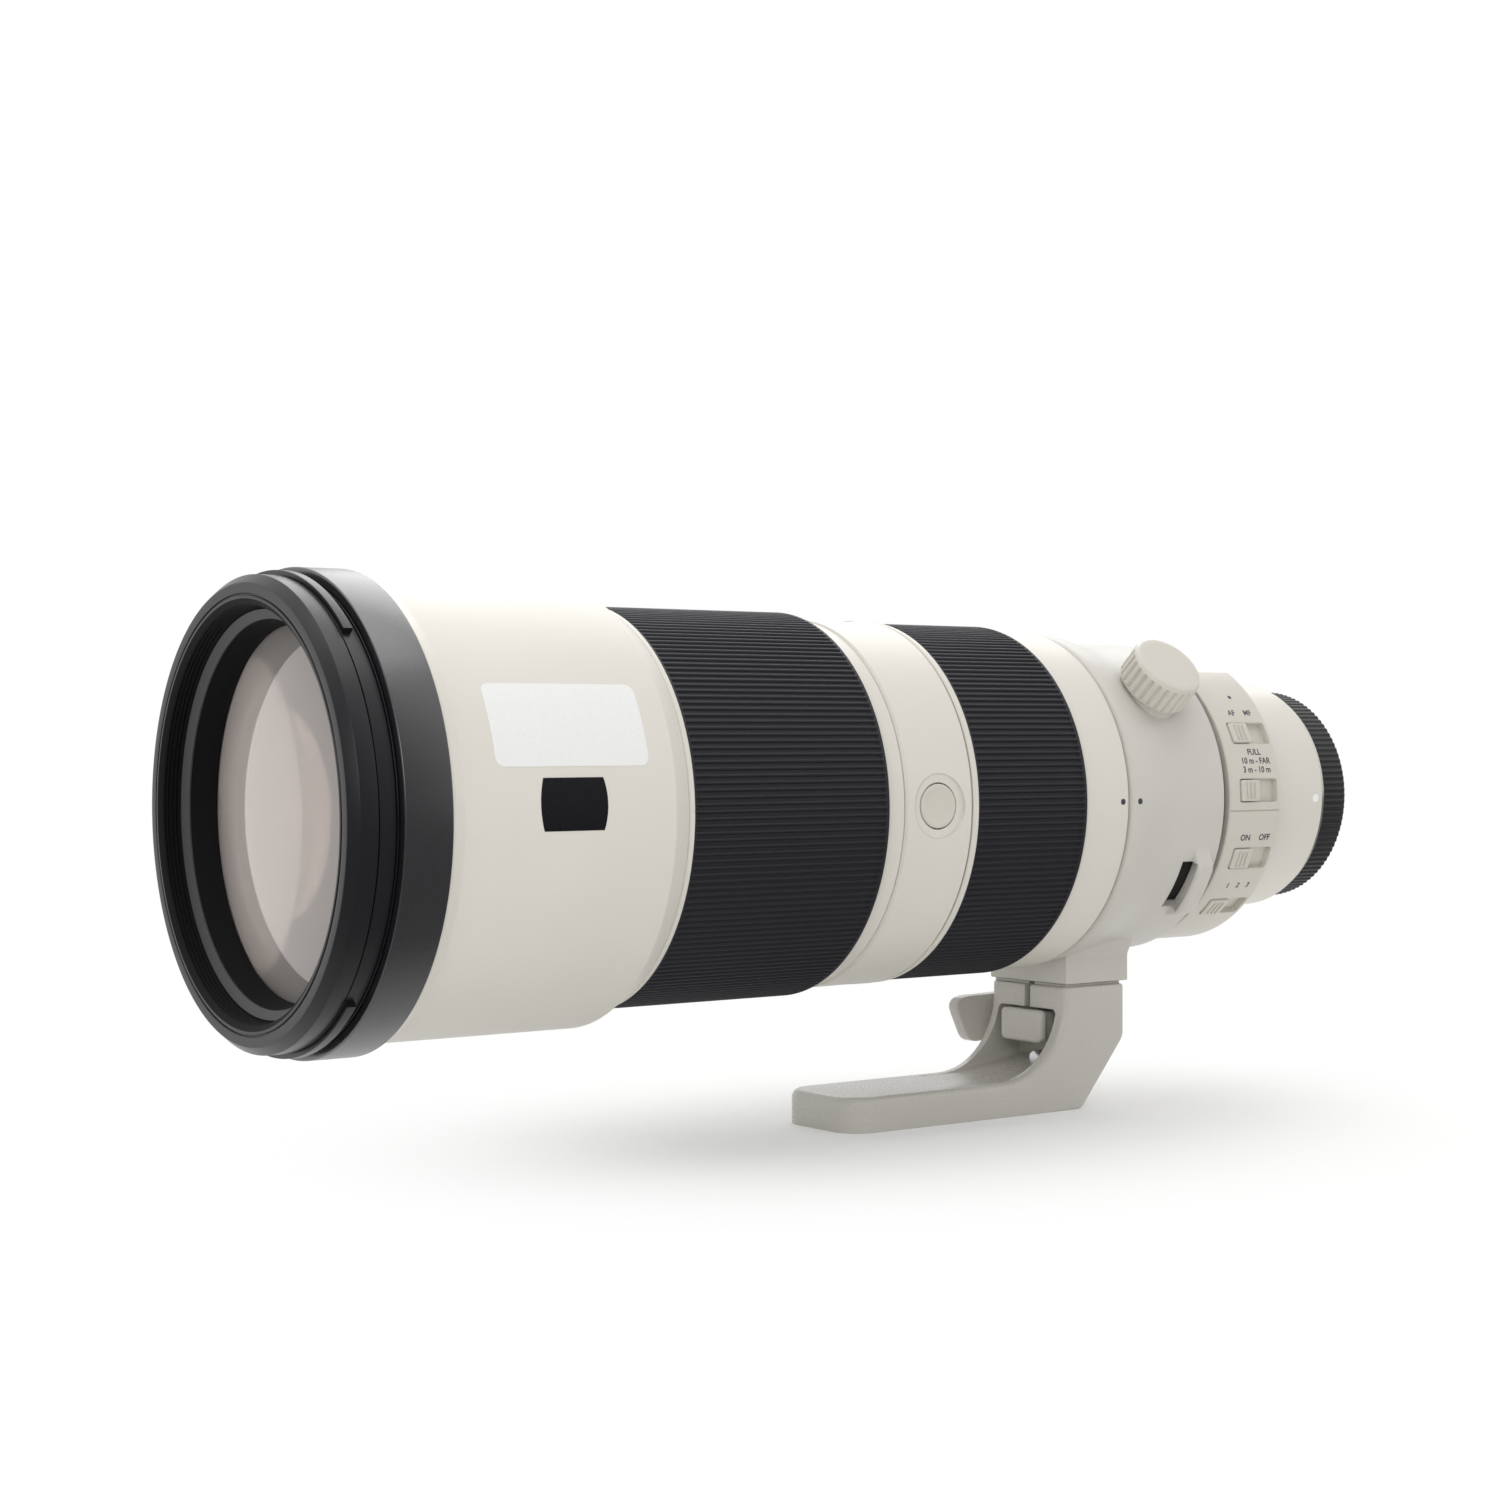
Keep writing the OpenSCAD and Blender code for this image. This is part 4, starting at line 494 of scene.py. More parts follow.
def settle(name, form, body, finish, stands_for=(), place=None):
    """Turns a form into a piece that rides on a body, and hides the CAD nodes it stands for."""
    bmesh.ops.recalc_face_normals(form, faces=form.faces)
    mesh = mesh_of(form, name)
    if place is not None:
        mesh.transform(place)
    for face in mesh.polygons:
        face.use_smooth = True
    mesh.set_sharp_from_angle(angle=radians(SHARP_TURN))
    mesh.materials.append(finish)
    piece = put(name, mesh)
    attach(piece, body)
    if stands_for:
        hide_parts(*stands_for)
    return piece


PLAIN_RIB = [(k / 8, 0) for k in range(8)]


def run_out(share):
    """Eases from 1 at the end of a sector to 0 inside it."""
    share = min(1, share)
    return 1 - share * share * (3 - 2 * share)


def turned_form(corners, ribs=32, rib=PLAIN_RIB, sector=None, fade=0):
    """Sweeps a profile round the X axis. A sector (from, to) in degrees, 0 at the lens's left, is closed at
    its ends. With a fade, in degrees, the groove depths of the corners run out from the ends inward."""
    outline = rounded_outline(corners)
    form = bmesh.new()
    if sector:
        low, high = sector
        cuts = max(4, round((high - low) / 1.5))
        turn_step = (high - low) / cuts
        columns = [(radians(low + turn_step * i),
                    run_out(min(i, cuts - i) * turn_step / fade) if fade else 0) for i in range(cuts + 1)]
    else:
        columns = [((i + part) / ribs * 2 * pi, depth) for i in range(ribs) for part, depth in rib]
    rings = []
    for angle, depth in columns:
        ring = []
        for radius, x, groove in outline:
            r = (radius - groove * depth) * MM
            ring.append(form.verts.new((x * MM, -r * cos(angle), r * sin(angle))))
        rings.append(ring)
    for i in range(len(rings) - (1 if sector else 0)):
        ring, following = rings[i], rings[(i + 1) % len(rings)]
        for j in range(len(outline)):
            k = (j + 1) % len(outline)
            form.faces.new((ring[j], ring[k], following[k], following[j]))
    if sector:
        form.faces.new(rings[0])
        form.faces.new(list(reversed(rings[-1])))
    bmesh.ops.remove_doubles(form, verts=form.verts, dist=1e-7)
    axis_edges = [edge for edge in form.edges if not edge.link_faces]
    bmesh.ops.delete(form, geom=axis_edges, context="EDGES")
    bmesh.ops.recalc_face_normals(form, faces=form.faces)
    return form


def extent(node):
    """Front x, rear x and outer radius of a round CAD node, in mm."""
    low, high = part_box(node)
    return low.x / MM, high.x / MM, high.y / MM


print("lathe ready")

# %% [markdown]
# ## Front rim
# The rim carries the filter thread inside and the seat of the hood outside. Its face has a flat, a wide
# chamfer and a fine line near the thread. Behind the hood seat run the grooves and lugs of the hood's
# bayonet. The thread is drawn as close grooves of 1 mm pitch, which look the same as a helix here.

# %% Front rim
rim_front, rim_rear = extent("front_ring")[:2]
RIM_R = 53.8
RIM_BORE = 46.4
FACE_R = 48.3
THREAD_R = 46.96
THREAD_PITCH = 1.0
THREAD_DEPTH = 0.55
THREAD_TURNS = 4
x_thread = rim_front + 1.1
rim_steps = [
    (48.4, 0, 0.12), (49.0, 0, 0.1), (49.15, 0.45, 0.05), (49.45, 0.45, 0.05), (49.6, 0, 0.1),
    (51.9, 0, 0.35), (RIM_R, 2.2, 0.3), (RIM_R, 6.4, 0.15), (52.7, 6.45, 0), (52.7, 6.75, 0),
    (53.55, 6.8, 0.1), (53.55, 10.55, 0.1), (52.3, 10.6, 0), (52.3, 10.85, 0), (53.6, 10.9, 0.05),
    (53.6, 11.2, 0.05), (52.3, 11.25, 0), (52.3, 11.5, 0), (51.2, 11.5, 0)]
rim_profile = [(r, rim_front + behind, rounding) for r, behind, rounding in rim_steps]
rim_profile += [(51.2, rim_rear), (RIM_BORE, rim_rear), (RIM_BORE, x_thread + THREAD_TURNS * THREAD_PITCH)]
for turn_number in reversed(range(THREAD_TURNS)):
    x_turn = x_thread + turn_number * THREAD_PITCH
    for rise, share in ((0, 0.92), (0, 0.78), (THREAD_DEPTH, 0.42), (THREAD_DEPTH, 0.28)):
        rim_profile.append((THREAD_R + rise, x_turn + share * THREAD_PITCH, 0.05))
rim_profile += [(THREAD_R, x_thread, 0.05), (THREAD_R + 0.3, x_thread - 0.4, 0.05)]
rim = settle("rim_with_thread", turned_form(rim_profile), "lens_body", rim_black,
             ["front_ring"])
rim.data.materials.append(baffle_black)
for face in rim.data.polygons:
    face.material_index = int(hypot(face.center.y, face.center.z) < FACE_R * MM)

LUG_MIDDLES = (90, 270)
LUG_HALF_SWEEP = 42.5
HOOD_SEAT_R, HOOD_LUG_R = 52.9, 54.9
lug_front, lug_rear = rim_front + 7.0, rim_front + 9.2
hood_lug_profile = [(HOOD_SEAT_R, lug_front), (HOOD_LUG_R, lug_front, 0.15), (HOOD_LUG_R, lug_rear, 0.15),
                    (HOOD_SEAT_R, lug_rear)]
for number, middle in enumerate(LUG_MIDDLES):
    lug_form = turned_form(hood_lug_profile, sector=(middle - LUG_HALF_SWEEP, middle + LUG_HALF_SWEEP))
    settle("hood_lug_%d" % (number + 1), lug_form, "lens_body", rim_black)
print("rim:", THREAD_TURNS, "thread grooves and", len(LUG_MIDDLES), "hood lugs")

# %% [markdown]
# ## Black band and white front barrel
# A satin band covers the joint of rim and barrel. The barrel starts with a low lip behind it, runs
# straight past the badge and the label, and ends in a bevel down to the zoom ring.

# %% Band and front barrel
band_front, band_rear, band_r = extent("front_band")
band_profile = [(52.0, band_front + 0.05), (band_r, band_front, 0.5), (band_r, band_rear - 0.05, 0.35),
                (52.0, band_rear - 0.05)]
settle("satin_band", turned_form(band_profile), "lens_body", band_black, ["front_band"])

barrel_front, barrel_rear, barrel_lip_r = extent("front_barrel")
BARREL_R = 53.1
barrel_profile = [
    (50.8, barrel_front), (barrel_lip_r, barrel_front, 0.3), (barrel_lip_r - 0.35, barrel_front + 1.4, 0.8),
    (BARREL_R, barrel_front + 4.0, 2.5), (BARREL_R, barrel_rear - 5.5, 1.2), (49.9, barrel_rear, 0.3),
    (46.2, barrel_rear), (46.2, barrel_rear - 3), (50.8, barrel_rear - 6)]
settle("white_front_barrel", turned_form(barrel_profile), "lens_body", barrel_enamel,
       ["front_barrel"])
print("barrel from", round(barrel_front, 1), "to", round(barrel_rear, 1), "mm")

# %% [markdown]
# ## Front glass
# The first two elements are the ones that show. Their faces are true arcs here, so that reflections
# slide over them without steps. A lens face is part of a large sphere: the height of its dome follows
# from the radius of the sphere.

# %% Front glass


def dome(sphere_r, r):
    """Depth in mm of a sphere's cap at a distance r from the axis."""
    return sphere_r - sqrt(sphere_r ** 2 - r ** 2)


def face_arc(x, edge_r, sphere_r, rows=40):
    """Profile of a glass face from the axis out. It starts at x, and a negative sphere bulges rearward."""
    bend = copysign(1, sphere_r)
    radii = [edge_r * i / rows for i in range(rows + 1)]
    return [(r, x + bend * dome(abs(sphere_r), r)) for r in radii]


glass_front, glass_rear, glass_r = extent("front_element")
FRONT_SPHERE = 150
FIRST_REAR_SPHERE = 200
first_profile = face_arc(glass_front, glass_r, FRONT_SPHERE)
first_profile += reversed(face_arc(glass_rear, glass_r, -FIRST_REAR_SPHERE))
first = settle("first_glass", turned_form(first_profile), "lens_body", outer_glass,
               ["front_element"])
for finish in (inner_glass, middle_glass, ground_edge):
    first.data.materials.append(finish)
MIDDLE_R = 33
for face in first.data.polygons:
    behind = 2 if hypot(face.center.y, face.center.z) < MIDDLE_R * MM else 1
    face.material_index = 3 if abs(face.normal.x) < 0.5 else behind if face.normal.x > 0 else 0
second_front, second_rear, second_r = extent("second_element")
SECOND_SPHERE = 260
BULGE_R = 30
BULGE_SPHERE = 150
second_profile = face_arc(second_front - dome(BULGE_SPHERE, BULGE_R), BULGE_R, BULGE_SPHERE, 20)
second_profile.append((second_r, second_front))
second_profile += reversed(face_arc(second_rear, second_r, -SECOND_SPHERE))
second = settle("second_glass", turned_form(second_profile), "lens_body", coated_glass,
                ["second_element"])
second.data.materials.append(bulge_glass)
for face in second.data.polygons:
    face.material_index = int(face.normal.x < -0.5 and face.center.x < second_front * MM - 1e-6)
print("front glass", round(2 * glass_r, 1), "mm across")

# %% [markdown]
# ## Grip rubbers
# Both rings wear a rubber band with fine ribs along the lens, under 2 mm apart. The ribs are real
# geometry: the lathe dips into the band at every pitch. A rib is a narrow round ridge, the groove beside
# it is wider, and the grooves end short of the band's smooth rims.

# %% Grip rubbers
GRIP_RIB = [(0.0, 0.0), (0.09, 0.04), (0.17, 0.2), (0.23, 0.55), (0.28, 0.9), (0.34, 1.0), (0.5, 1.0),
            (0.66, 1.0), (0.72, 0.9), (0.77, 0.55), (0.83, 0.2), (0.91, 0.04)]
RIB_PITCH = 1.66
RIB_DEPTH = 0.6
RIM_WIDE = 0.9
for grip_name, node_name, body, seat_r in (("zoom_grip", "zoom_rubber", "zoom_ring", 47.2),
                                           ("focus_grip", "focus_rubber", "focus_ring", 45.05)):
    grip_front, grip_rear, grip_r = extent(node_name)
    rib_count = round(2 * pi * grip_r / RIB_PITCH)
    groove_front, groove_rear = grip_front + RIM_WIDE + 0.4, grip_rear - RIM_WIDE - 0.4
    grip_profile = [(seat_r, grip_front), (grip_r, grip_front, 0.4), (grip_r, grip_front + RIM_WIDE),
                    (grip_r, groove_front, 0, RIB_DEPTH), (grip_r, groove_rear, 0, RIB_DEPTH),
                    (grip_r, grip_rear - RIM_WIDE), (grip_r, grip_rear, 0.4), (seat_r, grip_rear)]
    grip_form = turned_form(grip_profile, rib_count, GRIP_RIB)
    settle(grip_name, grip_form, body, grip_rubber, [node_name])
    print(grip_name, "has", rib_count, "ribs")

# %% [markdown]
# ## Rear ring and collar seal
# The fixed ring in front of the collar has well rounded edges, so a soft grey line shows between the two.
# Behind the collar a black rubber ring fills the gap to the switch panel as painted shade of that gap,
# and black felt lines the collar's bore, its dark also standing as painted shade in the lug passages.

# %% Rear ring and collar seal
ring_front, ring_rear, ring_r = extent("rear_ring")
RING_SEAT_R = 42.6
ring_end = ring_rear - 0.3
rear_ring_profile = [(RING_SEAT_R, ring_front), (ring_r, ring_front, 0.6), (ring_r, ring_end, 1.5),
                     (RING_SEAT_R, ring_end)]
settle("white_rear_ring", turned_form(rear_ring_profile), "lens_body", barrel_enamel,
       ["rear_ring"])
# A black ring in the gap behind the collar: painted shade of that gap.
gap_shade_profile = [(37.5, -51.3), (39.6, -51.3, 0.3), (39.2, -47.8, 0.3), (37.5, -47.8)]
settle("collar_gap_painted_shade_ring", turned_form(gap_shade_profile), "lens_body", grip_rubber)
# Felt lining of the bore; seen through the lug passages it is painted shade.
felt_shade_profile = [(40.1, -88.3), (40.3, -88.3), (40.3, -52.0), (40.1, -52.0)]
settle("collar_felt_lining_painted_shade", turned_form(felt_shade_profile), "collar", felt_and_shade_black)
print("rear ring, seal and felt lining made")

# %% [markdown]
# ## Laying pieces on the barrel
# Buttons, badge, label and dots sit on the round side of the lens. A small matrix lays a piece there:
# its local X points outward, its local Y rearward and its local Z round the barrel.

# %% Side placement


def on_side(angle, x):
    """Matrix for a place on the side, at an angle in degrees from the lens's left towards the top."""
    a = radians(angle)
    outward = Vector((0, -cos(a), sin(a)))
    rearward = Vector((1, 0, 0))
    lay = Matrix((outward, rearward, outward.cross(rearward))).transposed().to_4x4()
    return Matrix.Translation((x * MM, 0, 0)) @ lay


def rounded_patch(width, height, rounding):
    """Outline of a rounded rectangle in mm, centred on the origin."""
    points = []
    for corner, (u, v) in enumerate(((1, 1), (-1, 1), (-1, -1), (1, -1))):
        for k in range(7):
            a = radians(90 * corner + 15 * k)
            points.append((u * (width / 2 - rounding) + rounding * cos(a),
                           v * (height / 2 - rounding) + rounding * sin(a)))
    return points


def round_hole(radius, points=32):
    """Outline of a circle in mm."""
    return [(radius * cos(2 * pi * k / points), radius * sin(2 * pi * k / points))
            for k in range(points)]


def slice_through(form, place, across):
    """Cuts the faces of a form along a plane, so that they can bend there."""
    bmesh.ops.bisect_plane(form, geom=form.verts[:] + form.edges[:] + form.faces[:], plane_co=place,
                           plane_no=across)


def wrapped_plate(outline, x, angle, under_r, top_r, edge=0.0, columns=14):
    """A thin plate bent round the barrel: its outline lies flat on the side at radius top_r."""
    form = bmesh.new()
    wide = max(u for u, v in outline)
    flat = bmesh.new()
    flat.faces.new([flat.verts.new((u, v, 0)) for u, v in outline])
    bmesh.ops.triangulate(flat, faces=flat.faces)
    high = max(v for u, v in outline)
    for k in range(1, columns):
        level = -high + 2 * high * k / columns
        slice_through(flat, (0, level, 0), (0, 1, 0))
    flat.verts.index_update()
    layers = []
    for r, inset in ((under_r, 0), (top_r - edge, 0), (top_r, edge)):
        layer = []
        for vert in flat.verts:
            u = vert.co.x * (1 - inset / wide)
            v = vert.co.y * (1 - inset / high)
            a = radians(angle) + v / top_r
            layer.append(form.verts.new(((x + u) * MM, -r * MM * cos(a), r * MM * sin(a))))
        layers.append(layer)
    for face in flat.faces:
        form.faces.new([layers[0][v.index] for v in face.verts])
        form.faces.new([layers[2][v.index] for v in reversed(face.verts)])
    for seam in flat.edges:
        if len(seam.link_faces) == 1:
            a, b = (v.index for v in seam.verts)
            for lower, upper in ((layers[0], layers[1]), (layers[1], layers[2])):
                form.faces.new((lower[a], lower[b], upper[b], upper[a]))
    flat.free()
    return form


print("side placement ready")

# %% [markdown]
# ## Badge, label and dots
# The badge is a small rounded black plate without any sign. Above it sits a blank white label. Two dark
# dots show where the collar stands upright, and a white dot on the mount barrel shows where to turn the
# lens onto the camera.

# %% Badge, label and dots
BADGE_X, BADGE_ANGLE = -263.5, 2.6
BADGE_WIDE, BADGE_HIGH, BADGE_BULGE = 17.2, 11.8, 0.9
badge_side = [(BADGE_WIDE / 2 - BADGE_BULGE * (2 * k / 10 - 1) ** 2, BADGE_HIGH * (k / 10 - 0.5))
              for k in range(11)]
badge_outline = badge_side + [(-u, -v) for u, v in badge_side]
badge = wrapped_plate(badge_outline, BADGE_X, BADGE_ANGLE, BARREL_R - 0.9, BARREL_R + 0.15, 0.12)
settle("blank_badge", badge, "lens_body", badge_metal, ["badge_plate"])
LABEL_X, LABEL_ANGLE = -263, 22.3
label_outline = rounded_patch(39.3, 19.8, 2.2)
label = wrapped_plate(label_outline, LABEL_X, LABEL_ANGLE, BARREL_R - 0.2, BARREL_R + 0.12)
settle("blank_label", label, "lens_body", label_paper)


def index_dot(name, x, angle, surface_r, dot_r, body, ink):
    """Prints a round dot of ink on the side."""
    film = wrapped_plate(round_hole(dot_r, 24), x, angle, surface_r - 0.15, surface_r + 0.04, columns=4)
    settle(name, film, body, ink)


index_dot("ring_index_dot", -92.5, 0, 46.2, 0.8, "lens_body", dark_ink)
index_dot("collar_index_dot", -85.8, 0, 45.6, 0.8, "collar", dark_ink)
index_dot("mount_index_dot", -4.3, -1, 32.4, 1.2, "lens_body", white_ink)
print("badge, label and three dots")

# %% [markdown]
# ## Cutting and softening
# Cast and milled pieces start as a block: an outline pushed along an axis. Edges are then rounded with
# a bevel, and recesses are cut out with Blender's exact boolean, as a milling cutter would do it. The
# boolean runs on scratch objects, and only its result stays.

# %% Block helpers
ALONG_X = Matrix.Identity(4)
ALONG_Y = Matrix(((0, 1, 0, 0), (1, 0, 0, 0), (0, 0, 1, 0), (0, 0, 0, 1)))
ALONG_Z = Matrix(((0, 1, 0, 0), (0, 0, 1, 0), (1, 0, 0, 0), (0, 0, 0, 1)))


def slab(outline, low, high, place=ALONG_X):
    """Pushes an outline of (u, v) points from height low to high, all in mm, and lays the block in place."""
    form = bmesh.new()
    floor = [form.verts.new((low * MM, u * MM, v * MM)) for u, v in outline]
    roof = [form.verts.new((high * MM, u * MM, v * MM)) for u, v in outline]
    form.faces.new(floor)
    form.faces.new(list(reversed(roof)))
    for i in range(len(outline)):
        k = (i + 1) % len(outline)
        form.faces.new((floor[k], floor[i], roof[i], roof[k]))
    bmesh.ops.transform(form, matrix=place, verts=form.verts)
    bmesh.ops.recalc_face_normals(form, faces=form.faces)
    return form


CREASE = 30


def soften(form, offset, wanted=lambda edge: True, segments=4):
    """Rounds the edges that pass a test and turn by more than the crease angle."""
    edges = [e for e in form.edges
             if len(e.link_faces) == 2 and e.calc_face_angle(0) > radians(CREASE) and wanted(e)]
    bmesh.ops.bevel(form, geom=edges, offset=offset * MM, segments=segments, profile=0.5, affect="EDGES",
                    clamp_overlap=True)
    return form


def carved(form, cutters, operation="DIFFERENCE"):
    """The form with all the cutters taken out of it, or with the other forms joined on by a UNION."""
    blank, *tools = [put("scratch", mesh_of(each)) for each in [form] + cutters]
    for tool in tools:
        cut = blank.modifiers.new("cut", "BOOLEAN")
        cut.operation = operation
        cut.solver = "EXACT"
        cut.object = tool
    result = bmesh.new()
    result.from_mesh(blank.evaluated_get(bpy.context.evaluated_depsgraph_get()).to_mesh())
    for thing in [blank] + tools:
        bpy.data.meshes.remove(thing.data)
    return result


def merged(forms):
    """One form from several closed ones."""
    whole = bmesh.new()
    for form in forms:
        mesh = mesh_of(form)
        whole.from_mesh(mesh)
        bpy.data.meshes.remove(mesh)
    return whole


def oblong(u_low, v_low, u_high, v_high):
    """Outline of a rectangle in mm."""
    return [(u_low, v_low), (u_high, v_low), (u_high, v_high), (u_low, v_high)]


def moved(x, y, z):
    """A shift in mm."""
    return Matrix.Translation((x * MM, y * MM, z * MM))


print("block helpers ready")

# %% [markdown]
# ## Tripod collar
# The collar is a magnesium casting that turns round the lens. Its ring sweeps down from a full front
# edge. Underneath, a pedestal flares into the ring and carries the rail of the foot. A boss takes the
# lock knob. Two strap lugs grow out of the ring, each with a passage under it and a hollow before it.

# %% Tripod collar
COLLAR_FRONT, COLLAR_REAR = -88.7, -51.5
COLLAR_BORE = 40.35
KNOB_X, KNOB_ANGLE = -69.8, 42
COLLAR_FULL_R, COLLAR_R = 45.6, 42.75
collar_ring = [(0, COLLAR_FRONT), (COLLAR_FULL_R, COLLAR_FRONT, 1.9), (COLLAR_FULL_R, COLLAR_FRONT + 4.5, 45),
               (COLLAR_R, COLLAR_FRONT + 17, 45), (COLLAR_R, COLLAR_REAR, 0.6), (0, COLLAR_REAR)]
pedestal_half = [(15.5, -50.4), (15.5, -43.0, 3), (17.8, -38.6)]
pedestal_corners = pedestal_half + [(-corner[0],) + corner[1:] for corner in reversed(pedestal_half)]
pedestal_outline = [(y, z) for y, z, groove in rounded_outline(pedestal_corners, 6)]
pedestal = soften(slab(pedestal_outline, -84.6, -61.7), 0.35,
                  lambda edge: all(v.co.z < -46 * MM for v in edge.verts))
RAIL_FRONT, RAIL_REAR = -77.5, -63.9
NECK_HALF, HEAD_HALF = 4.5, 7.5
rail_neck = slab(oblong(-NECK_HALF, -53.5, NECK_HALF, -49), RAIL_FRONT, RAIL_REAR)
rail_head = slab(oblong(-HEAD_HALF, -55.0, HEAD_HALF, -52.8), RAIL_FRONT, RAIL_REAR)
knob_boss = slab(round_hole(8.6, 48), 38, 46.2, on_side(KNOB_ANGLE, KNOB_X))
LUG_ANGLES = (-33, 213)
LUG_FRONT, LUG_REAR = -60.5, -54.8
lug_profile = [(41.9, LUG_FRONT), (46.35, LUG_FRONT, 1.4, 4.0), (46.35, LUG_REAR, 1.4, 4.0), (41.9, LUG_REAR)]
LUG_HALF, LUG_FADE, PASSAGE_HALF = 17, 9, 10
lugs = [turned_form(lug_profile, sector=(angle - LUG_HALF, angle + LUG_HALF), fade=LUG_FADE)
        for angle in LUG_ANGLES]
collar_form = carved(turned_form(collar_ring), [pedestal, rail_neck, rail_head, knob_boss] + lugs, "UNION")
passage = [(39.5, -64.0), (39.5, -57.6), (41.3, -57.2), (41.3, -55.5, 1), (42.9, -53), (47, -53),
           (47, LUG_REAR + 0.1), (44.9, LUG_REAR + 0.1, 0.5), (44.9, LUG_FRONT - 0.1, 0.5),
           (47, LUG_FRONT - 0.1), (47, -64.0)]
collar_cutters = [slab(round_hole(COLLAR_BORE, 256), COLLAR_FRONT - 5, COLLAR_REAR + 5),
                  slab(round_hole(2.3, 24), 38, 60, on_side(KNOB_ANGLE, KNOB_X))]
collar_cutters += [turned_form(passage, sector=(angle - PASSAGE_HALF, angle + PASSAGE_HALF))
                   for angle in LUG_ANGLES]
settle("cast_tripod_collar", carved(collar_form, collar_cutters), "collar", collar_enamel,
       ["tripod_collar"])
print("collar with", len(LUG_ANGLES), "strap lugs")

# %% [markdown]
# ## Tripod foot
# The foot is a magnesium casting: a stem with a split clamp on top and a plate in front for a tripod
# head. Its side outline is pushed across, the front corners and then the long edges are rounded, and
# the clamp's recess, slit and rail slot and the two thread bores are cut out. A foot made from plain
# boxes would miss the soft cast edges that catch the light.

# %% Tripod foot
foot_low, foot_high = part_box("tripod_foot")
FOOT_FRONT, FOOT_REAR = foot_low.x / MM, foot_high.x / MM
FOOT_BASE, FOOT_TOP = foot_low.z / MM, foot_high.z / MM - 0.6
FOOT_HALF = foot_high.y / MM + 0.5
STEM_FRONT = FOOT_REAR - 21.8
PLATE_TOP = FOOT_BASE + 9.2
HUB_X, HUB_Z = FOOT_REAR - 8.8, FOOT_TOP - 8.5
SWEEP_R = 21
sweep_turns = [radians(degrees) for degrees in range(0, 91, 6)]
sweep = [(STEM_FRONT - SWEEP_R * (1 - cos(a)), PLATE_TOP + SWEEP_R * (1 - sin(a)))
         for a in sweep_turns]
foot_corners = [
    (FOOT_FRONT, FOOT_BASE), (FOOT_FRONT + 80, FOOT_BASE, 3.0), (FOOT_REAR, FOOT_TOP - 14.7, 5.0),
    (FOOT_REAR, FOOT_TOP), (STEM_FRONT, FOOT_TOP)] + sweep + [(FOOT_FRONT, PLATE_TOP)]
foot_outline = [(x, z) for x, z, groove in rounded_outline(foot_corners, 8)]
foot_form = slab(foot_outline, -FOOT_HALF, FOOT_HALF, ALONG_Y)


def lies_at(edge, axis, place):
    """True if both ends of an edge lie at a place, in mm, along an axis."""
    return all(abs(v.co[axis] / MM - place) < 0.01 for v in edge.verts)


def not_across(edge):
    """True if an edge doesn't run across the foot."""
    return abs(edge.verts[0].co.y - edge.verts[1].co.y) < 1e-6


def on_sides(edge):
    """True for edges other than those of the foot's top and base."""
    return not lies_at(edge, 2, FOOT_TOP) and not lies_at(edge, 2, FOOT_BASE)


def on_plate(edge):
    """True for side edges of the plate."""
    return on_sides(edge) and all(v.co.x / MM < STEM_FRONT + 0.01 for v in edge.verts)


def on_stem_rear(edge):
    """True for side edges of the stem behind its front face."""
    return on_sides(edge) and all(v.co.x / MM > STEM_FRONT + 1 for v in edge.verts)


soften(foot_form, 8.0, lambda edge: lies_at(edge, 0, FOOT_FRONT) and not_across(edge), 10)
soften(foot_form, 2.2, on_plate, 5)
soften(foot_form, 0.9, on_stem_rear, 4)
soften(foot_form, 1.4, lambda edge: lies_at(edge, 2, FOOT_BASE), 4)
soften(foot_form, 0.7, lambda edge: lies_at(edge, 2, FOOT_TOP), 3)
recess_back = STEM_FRONT + 8
recess_outline = [
    (STEM_FRONT - 30, FOOT_TOP - 6.2), (recess_back, FOOT_TOP - 6.2), (recess_back, FOOT_TOP - 20.5),
    (STEM_FRONT - 2, FOOT_TOP - 22.3), (STEM_FRONT - 9, FOOT_TOP - 23.5), (STEM_FRONT - 16, FOOT_TOP - 24.4),
    (STEM_FRONT - 30, FOOT_TOP - 24.8)]
RECESS_HALF, SLIT_HALF = 11.8, 1.15
GUIDE_DEEP, GUIDE_GAP = 4.9, 0.3
guide_neck, guide_head = NECK_HALF + GUIDE_GAP, HEAD_HALF + GUIDE_GAP
guide_front, guide_rear = STEM_FRONT + 4, FOOT_REAR + 5
on_top = moved(0, 0, FOOT_TOP)
hub_axis = moved(HUB_X, 0, HUB_Z) @ ALONG_Y
foot_cutters = [
    soften(slab(recess_outline, -RECESS_HALF, RECESS_HALF, ALONG_Y), 1.6, not_across),
    slab(oblong(-SLIT_HALF, -7.2, SLIT_HALF, 3), STEM_FRONT - 2, FOOT_REAR - 1, on_top),
    slab(oblong(-guide_neck, -GUIDE_DEEP, guide_neck, 3), guide_front, guide_rear, on_top),
    slab(oblong(-guide_head, -GUIDE_DEEP, guide_head, -2.1), guide_front, guide_rear, on_top),
    slab(round_hole(3.1), -12.9, FOOT_HALF + 5, hub_axis)]
for thread_x, thread_r in ((FOOT_FRONT + 50, 6.05), (FOOT_FRONT + 26, 4.63)):
    foot_cutters.append(slab(round_hole(thread_r), -2, 7.4, moved(thread_x, 0, FOOT_BASE) @ ALONG_Z))
LAND_HIGH = 0.7
LAND_INSET = 1.5
LAND_EDGE = 0.4
land_outline = oblong(STEM_FRONT + LAND_INSET, LAND_INSET - FOOT_HALF, FOOT_REAR - LAND_EDGE,
                      FOOT_HALF - LAND_EDGE)
clamp_land = slab(land_outline, -1, LAND_HIGH, on_top @ ALONG_Z)
